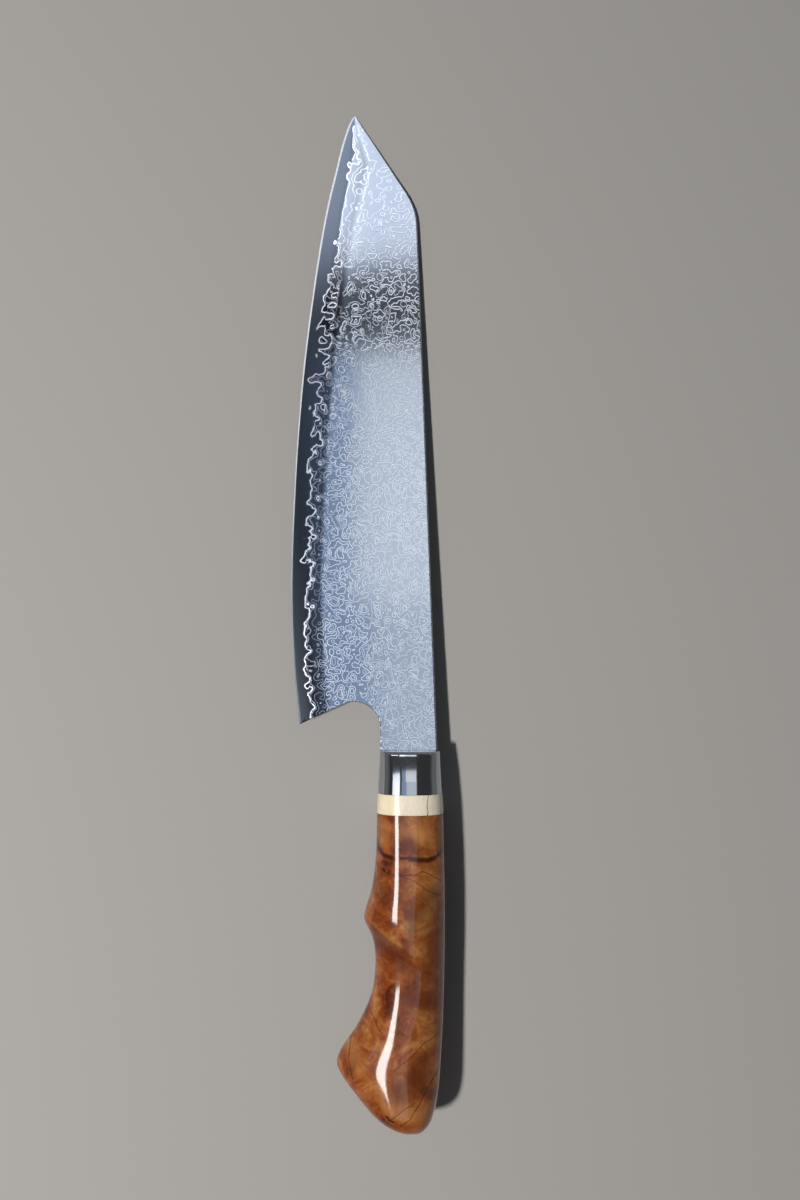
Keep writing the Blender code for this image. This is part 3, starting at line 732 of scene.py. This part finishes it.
def sectioned_piece_tree():
    """Builds the tree that skins a row of stations with superellipse sections and cuts the finger scoop."""
    inputs = {
        "Stations": "Geometry", "Ring Points": "Int", "Ridge X": "Float", "Ridge Y": "Float",
        "Ridge Lean": "Float", "Scoop Depth": "Float", "Scoop Rise": "Float", "Scoop Length": "Float",
        "Fade From": "Float", "Fade To": "Float", "Finish": "Material",
    }
    tree, add = new_group("sectioned_piece", "GeometryNodeTree", inputs, {"Piece": "Geometry"})
    given = add("NodeGroupInput").outputs
    count = add("GeometryNodeAttributeDomainSize", {"Geometry": given["Stations"]})
    columns = add("ShaderNodeMath", (given["Ring Points"], 1.0), operation="ADD")
    grid = add("GeometryNodeMeshGrid", {"Vertices X": count, "Vertices Y": columns})
    index = add("GeometryNodeInputIndex")
    row = add("ShaderNodeMath", (index, columns), operation="DIVIDE")
    row = add("ShaderNodeMath", (row, 0.0001), operation="ADD")
    row = add("ShaderNodeMath", (row,), operation="FLOOR")
    angle = add("ShaderNodeMath", (index, columns), operation="FLOORED_MODULO")
    angle = add("ShaderNodeMath", (angle, given["Ring Points"]), operation="DIVIDE")
    angle = add("ShaderNodeMath", (angle, 2 * math.pi), operation="MULTIPLY")
    station = {}
    for name in STATION_VALUES:
        named = add("GeometryNodeInputNamedAttribute", {"Name": name}, data_type="FLOAT")
        sockets = {"Geometry": given["Stations"], "Value": named, "Index": row}
        station[name] = add("GeometryNodeSampleIndex", sockets, data_type="FLOAT", domain="POINT")
    beyond = add("ShaderNodeMath", (angle,), operation="COSINE")
    beyond = add("ShaderNodeMath", (beyond, 0.0), operation="GREATER_THAN")
    exponent = {0: beyond, 2: station["belly_exponent"], 3: station["back_exponent"]}
    exponent = add("ShaderNodeMix", exponent)
    power = add("ShaderNodeMath", (2.0, exponent), operation="DIVIDE")
    reach = {}
    for axis, operation in (("across", "COSINE"), ("up", "SINE")):
        plain = add("ShaderNodeMath", (angle,), operation=operation)
        side = add("ShaderNodeMath", (plain,), operation="SIGN")
        size = add("ShaderNodeMath", (plain,), operation="ABSOLUTE")
        size = add("ShaderNodeMath", (size, power), operation="POWER")
        reach[axis] = add("ShaderNodeMath", (side, size), operation="MULTIPLY")
    # The section reaches from the crown line to the back on one side and to the belly on the other
    side = add("ShaderNodeMix", {0: beyond, 2: station["belly"], 3: station["back"]})
    size = add("ShaderNodeMath", (reach["across"],), operation="ABSOLUTE")
    x = add("ShaderNodeMix", {0: size, 2: station["crown"], 3: side})
    z = add("ShaderNodeMath", (station["half_height"], reach["up"]), operation="MULTIPLY")
    # The scoop starts behind the leaning ridge, runs out along the grip and fades towards the back
    leaned = add("ShaderNodeMath", (x, given["Ridge X"]), operation="SUBTRACT")
    leaned = (leaned, given["Ridge Lean"], station["along"])
    leaned = add("ShaderNodeMath", leaned, operation="MULTIPLY_ADD")
    behind = add("ShaderNodeMath", (given["Ridge Y"], leaned), operation="SUBTRACT")
    scoop = given["Scoop Depth"]
    for sockets in (
        (behind, 0.0, given["Scoop Rise"], 0.0, 1.0),
        (behind, given["Scoop Rise"], given["Scoop Length"], 1.0, 0.0),
        (x, given["Fade From"], given["Fade To"], 1.0, 0.0),
    ):
        part = add("ShaderNodeMapRange", sockets, interpolation_type="SMOOTHSTEP")
        scoop = add("ShaderNodeMath", (scoop, part), operation="MULTIPLY")
    scoop = add("ShaderNodeMath", (scoop, reach["up"]), operation="MULTIPLY")
    z = add("ShaderNodeMath", (z, scoop), operation="SUBTRACT")
    place = add("ShaderNodeCombineXYZ", (x, station["along"], z))
    skin = add("GeometryNodeSetPosition", {"Geometry": grid, "Position": place})
    skin = add("GeometryNodeMergeByDistance", {"Geometry": skin, "Distance": 2 * MERGE_DISTANCE})
    skin = add("GeometryNodeRealizeInstances", {"Geometry": skin})
    skin = add("GeometryNodeSetMaterial", {"Geometry": skin, "Material": given["Finish"]})
    add("NodeGroupOutput", {"Piece": skin}).is_active_output = True
    return tree


sectioned_piece = sectioned_piece_tree()


def sectioned_mesh(name, stations, finish):
    """Returns the closed mesh that the tree skins over the stations, with a point closing each end."""
    rows = [(y, *handle_section(y)) for y in stations]
    front, rear = (
        (y, crown, crown, crown, 0.0, *exponents)
        for y, _, crown, _, _, *exponents in (rows[0], rows[-1])
    )
    rows = [front, *rows, rear]
    mesh = bpy.data.meshes.new(name)
    mesh.from_pydata([(0, row[0], 0) for row in rows], [], [])
    for attribute, values in zip(STATION_VALUES, zip(*rows)):
        store(mesh, attribute, values)
    obj = in_scene(name, mesh)
    modifier = obj.modifiers.new("sections", "NODES")
    modifier.node_group = sectioned_piece
    sizes = {
        "Ring Points": RING_POINTS, "Ridge X": -BUMP_SHARE * GRIP_BELLY,
        "Ridge Y": grip_front - RIDGE_SHARE * GRIP_LENGTH, "Ridge Lean": RIDGE_LEAN,
        "Scoop Depth": SCOOP_DEPTH, "Scoop Rise": SCOOP_RISE_LENGTH, "Scoop Length": SCOOP_LENGTH,
        "Fade From": SCOOP_START_SHARE * GRIP_BELLY, "Fade To": SCOOP_END_SHARE * GRIP_BACK, "Finish": finish,
    }
    for socket in sectioned_piece.interface.items_tree:
        if socket.name in sizes:
            modifier[socket.identifier] = sizes[socket.name]
    skin = applied(obj)
    bm = bmesh.new()
    bm.from_mesh(skin)
    return closed_mesh(bm, skin)


def handle_piece(name, stations, finish, holes):
    """Adds one piece of the handle: the skin over its stations, with its holes cut out."""
    mesh = cut(sectioned_mesh(name, stations, finish), holes)
    knife_piece(name, mesh, finish)


def tang_envelope(name, margin, front, rear):
    """Returns a closed tapered block that stands clear of the tang by the margin on all four sides."""
    rings = []
    for y in (front, rear):
        half_width = (TANG_WIDTH + (TANG_END_WIDTH - TANG_WIDTH) * y / TANG_END_Y) / 2 + margin
        half_height = SPINE_THICKNESS / 2 + margin
        corners = ((-1, -1), (1, -1), (1, 1), (-1, 1))
        rings.append([(sx * half_width, y, sz * half_height) for sx, sz in corners])
    return loft(name, rings)


def dowel_hole(name, x):
    """Returns the round hole for one dowel, running from the bolster into the grip."""
    front = -BOLSTER_LENGTH + DOWEL_IN_BOLSTER + FIT_GAP
    rear = grip_front - DOWEL_IN_GRIP - FIT_GAP
    radius = DOWEL_RADIUS + FIT_GAP
    turns = [2 * math.pi * (i + 0.5) / 24 for i in range(24)]
    rings = [[(x + radius * math.cos(t), y, radius * math.sin(t)) for t in turns] for y in (front, rear)]
    return loft(name, rings)


tang_slot = tang_envelope("tang_slot", FIT_GAP, CUTTER_REACH, grip_front - CUTTER_REACH)
dowel_holes = [dowel_hole("belly_dowel_hole", -DOWEL_OFFSET), dowel_hole("back_dowel_hole", DOWEL_OFFSET)]


def mirror_steel():
    """Returns stainless steel buffed to a mirror, with the faint lengthwise lines that buffing leaves."""
    mat, add = new_finish("mirror_polished_steel")
    # Buffing lines are far finer than 0.1 mm, and are drawn that coarse to show at all
    drawn = (knife_millimetres(add), (9.0, 0.5, 9.0))
    drawn = add("ShaderNodeVectorMath", drawn, operation="MULTIPLY")
    lines = add("ShaderNodeTexNoise", {"Vector": drawn, "Scale": 1.0, "Detail": 3.0})
    roughness = add("ShaderNodeMapRange", (lines, 0.35, 0.75, 0.06, 0.10))
    bump = add("ShaderNodeBump", {"Height": lines, "Strength": 0.03, "Distance": 0.00002})
    shader = add("ShaderNodeBsdfPrincipled", {
        "Base Color": linear("#BCC0C5"), "Metallic": 1.0, "Roughness": roughness, "Normal": bump,
    })
    add("ShaderNodeOutputMaterial", {"Surface": shader})
    return mat


rim_stations = -BOLSTER_RIM * (1 - np.cos(np.linspace(0, math.pi / 2, 12)))
bolster_stations = np.concatenate((rim_stations, np.linspace(-BOLSTER_RIM, -BOLSTER_LENGTH, 40)[1:]))
handle_piece("bolster", bolster_stations, mirror_steel(), [tang_slot] + dowel_holes)


# Bone spacer
# A plate of bleached bone, slotted for the tang and drilled for the dowels, then ground flush with its
# neighbours and polished. One hairline drying crack crosses it near the back.
SEAM_WANDER = 0.5


def seam_group():
    """Builds the node group that marks a soft line between two points of the knife's plan, in millimetres."""
    inputs = {"Place": "Vector", "From": "Vector", "To": "Vector", "Half Width": "Float", "Outside": "Float"}
    tree, add = new_group("seam", "ShaderNodeTree", inputs, {"Mark": "Float"})
    given = add("NodeGroupInput").outputs
    span = add("ShaderNodeVectorMath", (given["To"], given["From"]), operation="SUBTRACT")
    away = add("ShaderNodeVectorMath", (given["Place"], given["From"]), operation="SUBTRACT")
    along = add("ShaderNodeVectorMath", (away, span), operation="DOT_PRODUCT")
    whole = add("ShaderNodeVectorMath", (span, span), operation="DOT_PRODUCT")
    share = add("ShaderNodeMath", (along, whole), operation="DIVIDE", use_clamp=True)
    foot = add("ShaderNodeVectorMath", {0: span, "Scale": share}, operation="SCALE")
    gap = add("ShaderNodeVectorMath", (away, foot), operation="DISTANCE")
    mark = (gap, given["Half Width"], given["Outside"], 1.0, 0.0)
    mark = add("ShaderNodeMapRange", mark, interpolation_type="SMOOTHSTEP")
    add("NodeGroupOutput", {"Mark": mark}).is_active_output = True
    return tree


seam = seam_group()


def seam_marks(add, place, seams):
    """Adds lines through rows of plan points, each row with its half width and where its edge fades out."""
    wander = add("ShaderNodeTexNoise", {"Vector": place, "Scale": 0.45, "Detail": 3.0}).outputs["Color"]
    wander = add("ShaderNodeVectorMath", (wander, (0.5,) * 3), operation="SUBTRACT")
    wander = add("ShaderNodeVectorMath", {0: wander, "Scale": 2 * SEAM_WANDER}, operation="SCALE")
    plan = add("ShaderNodeVectorMath", (place, wander), operation="ADD")
    plan = add("ShaderNodeVectorMath", (plan, (1.0, 1.0, 0.0)), operation="MULTIPLY")
    marks = 0.0
    for half_width, outside, points in seams:
        sockets = {"Place": plan, "Half Width": half_width, "Outside": outside}
        for start, end in zip(points, points[1:]):
            sockets |= {"From": (*start, 0.0), "To": (*end, 0.0)}
            mark = add("ShaderNodeGroup", sockets, node_tree=seam)
            marks = add("ShaderNodeMath", (marks, mark), operation="MAXIMUM")
    return marks


def polished_bone():
    """Returns cream bone with faint lengthwise fibres, warmer towards the belly, and a hairline crack."""
    mat, add = new_finish("polished_bone")
    place = knife_millimetres(add)
    clouds = add("ShaderNodeTexNoise", {"Vector": place, "Scale": 0.22, "Detail": 2.0})
    drawn = add("ShaderNodeVectorMath", (place, (3.0, 0.35, 3.0)), operation="MULTIPLY")
    fibres = add("ShaderNodeTexNoise", {"Vector": drawn, "Scale": 1.0, "Detail": 4.0})
    across = add("ShaderNodeSeparateXYZ", (place,)).outputs["X"]
    belly = add("ShaderNodeMapRange", (across, -9.0, 0.0, 0.50, 0.0), interpolation_type="SMOOTHSTEP")
    warmth = add("ShaderNodeMath", (clouds, 0.6, belly), operation="MULTIPLY_ADD")
    warmth = add("ShaderNodeMath", (warmth, 0.25), operation="SUBTRACT", use_clamp=True)
    streak = add("ShaderNodeMapRange", (fibres, 0.52, 0.72, 0.0, 0.35))
    crack = seam_marks(add, place, ((0.05, 0.17, ((6.3, -13.0), (5.8, -16.8), (6.1, -21.5))),))
    colour = linear("#F2EEE0")
    for factor, tone in ((warmth, "#EEDFB6"), (streak, "#C9B98C"), (crack, "#4A3A28")):
        colour = add("ShaderNodeMix", {0: factor, 6: colour, 7: linear(tone)}, data_type="RGBA")
    depth = add("ShaderNodeMath", (1.0, crack), operation="SUBTRACT")
    bump = add("ShaderNodeBump", {"Height": depth, "Strength": 0.5, "Distance": 0.0001})
    shader = add("ShaderNodeBsdfPrincipled", {
        "Base Color": colour, "Roughness": 0.22, "Normal": bump, "Subsurface Weight": 0.3,
        "Subsurface Radius": (0.0012, 0.0009, 0.0006), "Subsurface Scale": 2.0,
    })
    add("ShaderNodeOutputMaterial", {"Surface": shader})
    return mat


spacer_stations = np.linspace(spacer_front, spacer_rear, 20)
handle_piece("bone_spacer", spacer_stations, polished_bone(), [tang_slot] + dowel_holes)


# Wood grip
# One block of stabilised burl, bored for the tang and its bed, carved to a finger bump with a ridge and a
# scoop behind it and to a flared butt, then filled and lacquered to a deep gloss. Dark seams of old bark and
# hairline cracks run through it.
BED_WALL = 0.0012
# The grip's stations stand closest from ahead of the ridge to behind the scoop's start, and round the butt
FINE_START_SHARE = RIDGE_SHARE - 0.08
FINE_END_SHARE = RIDGE_SHARE + 0.16
BUTT_START_SHARE = 0.82
BUTT_RUN_SHARE = 0.1785
# Marks in the wood, with painted highlight, shade and sheen among them, in millimetres of the plan:
# a half width, where the edge fades out, and a row of points
DARK_SEAMS = (
    (0.25, 1.25, ((-11.6, -28.0), (-10.6, -31.6), (-8.8, -33.7), (-5.8, -34.6))),
    (0.05, 0.80, ((-5.8, -34.6), (-3.0, -34.5), (0.2, -34.6))),
    (0.30, 1.35, ((0.2, -34.6), (2.6, -35.1), (5.6, -35.3), (8.2, -34.7))),
    (0.15, 0.95, ((8.2, -34.7), (10.2, -33.3), (12.0, -31.0))),
)
HAIRLINES = (
    (0.02, 0.20, (
        (-11.2, -36.6), (-8.6, -39.2), (-4.4, -40.2), (1.2, -40.0), (4.5, -38.8), (6.9, -40.0), (10.4, -42.6),
    )),
    (0.02, 0.18, ((-1.9, -40.6), (1.6, -42.0), (5.6, -45.0), (10.6, -47.6))),
    (0.02, 0.20, ((-15.4, -81.6), (-12.3, -87.1), (-9.4, -91.9))),
    (0.03, 0.22, ((11.2, -91.9), (5.0, -94.6), (0.7, -98.6), (-5.4, -103.5))),
    (0.03, 0.22, ((10.2, -103.2), (5.8, -109.4), (2.6, -114.6), (0.0, -118.4), (-3.2, -120.6))),
    (0.02, 0.18, ((-6.2, -118.4), (-2.6, -115.8), (1.8, -113.2))),
    (0.02, 0.20, ((-19.6, -95.0), (-20.2, -101.0), (-18.9, -107.6))),
)
PITS = (
    (0.25, 0.70, ((-8.6, -38.3), (-8.4, -38.8))),
    (0.10, 0.55, ((-7.6, -117.6), (-6.6, -118.6), (-5.2, -119.2))),
)
SHADES = (
    (0.2, 3.6, ((0.2, -50.5), (1.0, -57.5))),
    (0.5, 7.5, ((0.5, -80.4), (9.0, -81.2))),
    (0.5, 7.0, ((-4.0, -110.5), (3.0, -105.0))),
    (0.5, 4.2, ((0.0, -30.0), (1.5, -32.0))),
    (0.5, 5.5, ((7.3, -46.5), (2.4, -53.4))),
    (0.5, 8.0, ((9.5, -52.0), (9.0, -76.0))),
    (0.5, 5.0, ((-9.0, -46.5), (-5.5, -48.5))),
    # This row darkens the scoop just behind the ridge: painted shade
    (0.5, 5.5, ((-10.5, -62.5), (-2.0, -67.5))),
)
PALES_AND_SHEEN = (
    # The first row is painted sheen on the lacquer at the grip's front; the others are paler clouds in the
    # wood
    (0.3, 5.0, ((-3.0, -25.3), (4.5, -26.5))),
    (0.3, 4.0, ((-8.5, -24.5), (-8.2, -29.0))),
    (0.5, 5.0, ((-19.8, -97.0), (-16.5, -103.5))),
    (0.5, 6.0, ((-5.0, -115.0), (3.0, -117.0))),
)
# A painted highlight along the ridge's crest, and dark red painted shade in the scoop behind it; the last row
# is a dark patch of the wood itself
CREST_HIGHLIGHT = (
    (0.1, 0.9, ((-15.4, -53.8), (-12.4, -56.7), (-9.1, -58.9), (-5.8, -61.2), (-2.6, -63.4))),
)
HOLLOW_SHADE_AND_PATCH = (
    (0.5, 4.5, ((-13.0, -59.5), (-8.5, -62.8), (-3.9, -66.2), (-2.0, -70.5))),
    (0.5, 4.5, ((1.5, -80.6), (6.5, -80.9))),
)


def lacquered_burl():
    """Returns red-brown burl with clouds, wavy fibres, pores, bark seams and cracks under clear gloss, with a
    painted highlight on the ridge's crest, painted shade in the scoop and painted sheen at the front.
    """
    mat, add = new_finish("lacquered_burl_wood")
    place = knife_millimetres(add)
    # The figure swirls on a scale of 15 mm, with curls of 4 mm inside it
    clouds = add("ShaderNodeTexNoise", {
        "Vector": place, "Scale": 1 / 15, "Detail": 3.0, "Roughness": 0.55, "Distortion": 1.1,
    })
    curls = add("ShaderNodeTexNoise", {
        "Vector": place, "Scale": 1 / 4, "Detail": 4.0, "Roughness": 0.6, "Distortion": 1.6,
    })
    figure = add("ShaderNodeMath", (curls, 0.45, clouds), operation="MULTIPLY_ADD")
    ramp = add("ShaderNodeValToRGB", {"Fac": figure})
    tones = ramp.color_ramp.elements
    tones[0].position, tones[0].color = 0.53, linear("#471C09")
    tones[1].position, tones[1].color = 0.91, linear("#B57F4A")
    for position, tone in ((0.63, "#763711"), (0.71, "#8C471B"), (0.80, "#9E6130")):
        tones.new(position).color = linear(tone)
    # The back of the block is coloured paler and browner than the belly, partly its own tone and partly
    # painted sheen
    across = add("ShaderNodeSeparateXYZ", (place,)).outputs["X"]
    pale = add("ShaderNodeMapRange", (across, -6.0, 6.0, 0.0, 0.36), interpolation_type="SMOOTHSTEP")
    # Fibres some 0.3 mm wide wave along the block, with pores between them
    wave = add("ShaderNodeTexNoise", {"Vector": place, "Scale": 1 / 7, "Detail": 1.0}).outputs["Color"]
    wave = add("ShaderNodeVectorMath", {0: wave, "Scale": 9.0}, operation="SCALE")
    drawn = add("ShaderNodeVectorMath", (place, wave), operation="ADD")
    drawn = add("ShaderNodeVectorMath", (drawn, (2.6, 0.30, 2.6)), operation="MULTIPLY")
    fibres = add("ShaderNodeTexNoise", {"Vector": drawn, "Scale": 1.0, "Detail": 3.0})
    fibre = add("ShaderNodeMapRange", (fibres, 0.42, 0.70, 0.0, 0.30))
    pores = add("ShaderNodeTexVoronoi", {"Vector": drawn, "Scale": 0.9})
    pore = add("ShaderNodeMapRange", (pores, 0.05, 0.16, 0.45, 0.0))
    stains_and_painted_light = [(pale, "#845630"), (fibre, "#54280E"), (pore, "#3E1C0A")]
    # The crest's highlight, the scoop's shade and the sheen at the front are painted light among the wood's
    # own marks
    for seams, tone, most in (
        (PALES_AND_SHEEN, "#C98F58", 0.32), (SHADES, "#4C210D", 0.58), (HOLLOW_SHADE_AND_PATCH, "#5A210A", 0.55),
        (CREST_HIGHLIGHT, "#B98350", 0.22), (DARK_SEAMS, "#2E0D08", 0.92), (HAIRLINES, "#22120A", 0.85),
        (PITS, "#1C0E08", 0.9),
    ):
        mark = (seam_marks(add, place, seams), most)
        stains_and_painted_light.append((add("ShaderNodeMath", mark, operation="MULTIPLY"), tone))
    colour = ramp
    for factor, tone in stains_and_painted_light:
        colour = add("ShaderNodeMix", {0: factor, 6: colour, 7: linear(tone)}, data_type="RGBA")
    bump = add("ShaderNodeBump", {"Height": fibres, "Strength": 0.02, "Distance": 0.00005})
    shader = add("ShaderNodeBsdfPrincipled", {
        "Base Color": colour, "Roughness": 0.34, "Specular IOR Level": 0.1, "Normal": bump,
        "Coat Weight": 1.0, "Coat Roughness": 0.08,
    })
    add("ShaderNodeOutputMaterial", {"Surface": shader})
    return mat


grip_shares = np.concatenate((
    np.linspace(0, FINE_START_SHARE, 50, endpoint=False),
    np.linspace(FINE_START_SHARE, FINE_END_SHARE, 130, endpoint=False),
    np.linspace(FINE_END_SHARE, BUTT_START_SHARE, 90, endpoint=False),
    BUTT_START_SHARE + BUTT_RUN_SHARE * np.sin(np.linspace(0, math.pi / 2, 70)),
))
grip_stations = grip_front - GRIP_LENGTH * grip_shares
mortise = tang_envelope("mortise", 2 * FIT_GAP + BED_WALL, CUTTER_REACH, TANG_END_Y - 2 * FIT_GAP - BED_WALL)
handle_piece("wood_grip", grip_stations, lacquered_burl(), [mortise] + dowel_holes)


# Epoxy bed and dowels
# The tang is bedded in amber epoxy inside the mortise, and two plain ground steel dowels join the bolster,
# the spacer and the grip. All three are hidden once the handle is glued up.


def cast_epoxy():
    """Returns cured amber epoxy, clouded by small bubbles."""
    mat, add = new_finish("cast_amber_epoxy")
    place = knife_millimetres(add)
    cloud = add("ShaderNodeTexNoise", {"Vector": place, "Scale": 0.4, "Detail": 3.0})
    bubbles = add("ShaderNodeTexVoronoi", {"Vector": place, "Scale": 1.4})
    bubble = add("ShaderNodeMapRange", (bubbles, 0.1, 0.25, 1.0, 0.0))
    colour = linear("#B08A4C")
    for factor, tone in ((cloud, "#8E6A34"), (bubble, "#D2B884")):
        colour = add("ShaderNodeMix", {0: factor, 6: colour, 7: linear(tone)}, data_type="RGBA")
    shader = add("ShaderNodeBsdfPrincipled", {"Base Color": colour, "Roughness": 0.3})
    add("ShaderNodeOutputMaterial", {"Surface": shader})
    return mat


def ground_dowel_steel():
    """Returns centreless-ground steel, with fine grinding rings round the rod."""
    mat, add = new_finish("ground_dowel_steel")
    drawn = (knife_millimetres(add), (0.4, 8.0, 0.4))
    drawn = add("ShaderNodeVectorMath", drawn, operation="MULTIPLY")
    lines = add("ShaderNodeTexNoise", {"Vector": drawn, "Scale": 1.0, "Detail": 2.0})
    roughness = add("ShaderNodeMapRange", (lines, 0.0, 1.0, 0.22, 0.42))
    shader = add("ShaderNodeBsdfPrincipled", {
        "Base Color": linear("#B9BBBD"), "Metallic": 1.0, "Roughness": roughness,
    })
    add("ShaderNodeOutputMaterial", {"Surface": shader})
    return mat


dowel_steel = ground_dowel_steel()
for name, finish in (("epoxy_bed", cast_epoxy()), ("belly_dowel", dowel_steel), ("back_dowel", dowel_steel)):
    for material_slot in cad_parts[name].material_slots:
        material_slot.material = finish


# Table, lights and camera
# A plain pale table under a studio of soft boxes, seen straight from above. The key lights the knife and
# casts its shadow, and the studio's walls fill the shadow a little. The other boxes are only seen mirrored
# in the steel and the lacquer.
FLOOR_REACH = 3.0
LAMP_HEIGHT = 1.3
WALL_TOP = 0.34
CEILING = 0.62
WALL_STRENGTH = 0.18
CEILING_STRENGTH = 0.05
floor_mesh = bpy.data.meshes.new("floor")
corners = [(x * FLOOR_REACH, y * FLOOR_REACH, 0) for x, y in ((-1, -1), (1, -1), (1, 1), (-1, 1))]
floor_mesh.from_pydata(corners, [], [(0, 1, 2, 3)])
floor = in_scene("floor", floor_mesh)
floor_finish, add = new_finish("pale_floor")
shader = add("ShaderNodeBsdfPrincipled", {"Base Color": linear("#A6A8AB"), "Roughness": 0.9})
add("ShaderNodeOutputMaterial", {"Surface": shader})
floor_mesh.materials.append(floor_finish)

camera = in_scene("camera", bpy.data.cameras.new("camera"))
camera.location = (0.010824, 0.004535, 0.4040)
camera.data.lens = 35.0
camera.data.sensor_width = 36.0
camera.data.clip_start = 0.01
bpy.context.scene.camera = camera


def soft_box(name, centre, size, radiance, colour, is_key=False):
    """Adds a rectangular soft box facing the table: the key only lights, and the others are only mirrored."""
    lamp = bpy.data.lights.new(name, "AREA")
    lamp.shape = "RECTANGLE"
    lamp.size, lamp.size_y = size
    lamp.color = linear(colour)[:3]
    lamp.energy = radiance * math.pi * size[0] * size[1]
    obj = in_scene(name, lamp)
    obj.location = (*centre, LAMP_HEIGHT)
    obj.visible_diffuse = is_key
    obj.visible_glossy = not is_key


soft_box("far_sky_panel", (0.07, 0.30), (0.30, 0.38), 1.15, "#F2F5FA")
soft_box("near_sky_panel", (0.085, -0.245), (0.27, 0.71), 0.92, "#E6EDF8")
soft_box("low_sky_panel", (-0.155, -0.055), (0.21, 1.09), 0.64, "#B8CEF2")
soft_box("front_panel", (0.06, 1.06), (0.32, 0.88), 1.4, "#F2F5FF")
soft_box("tip_panel", (-0.25, 1.06), (0.30, 0.88), 2.3, "#F2F5FF")
soft_box("near_window", (-0.76, 0.185), (0.76, 0.57), 1.7, "#F4F7FF")
soft_box("far_window", (-0.95, 0.96), (0.90, 0.42), 2.6, "#F4F7FF")
soft_box("strip", (-0.58, -0.14), (0.27, 0.52), 20.0, "#FFFDFA")
soft_box("key", (-0.66, -0.22), (0.10, 0.16), 465.0, "#FFF6EA", is_key=True)

# The studio's walls are pale and its ceiling is dark
world = bpy.data.worlds.new("studio")
world.use_nodes = True
world.node_tree.nodes.clear()
add = functools.partial(add_node, world.node_tree)
upward = add("ShaderNodeTexCoord").outputs["Generated"]
upward = add("ShaderNodeSeparateXYZ", (upward,)).outputs["Z"]
strength = (upward, WALL_TOP, CEILING, WALL_STRENGTH, CEILING_STRENGTH)
strength = add("ShaderNodeMapRange", strength, interpolation_type="SMOOTHSTEP")
background = add("ShaderNodeBackground", {"Color": linear("#FFFFFF"), "Strength": strength})
add("ShaderNodeOutputWorld", {"Surface": background})
bpy.context.scene.world = world
bpy.context.scene.view_settings.view_transform = "Standard"

low, high = cad_box
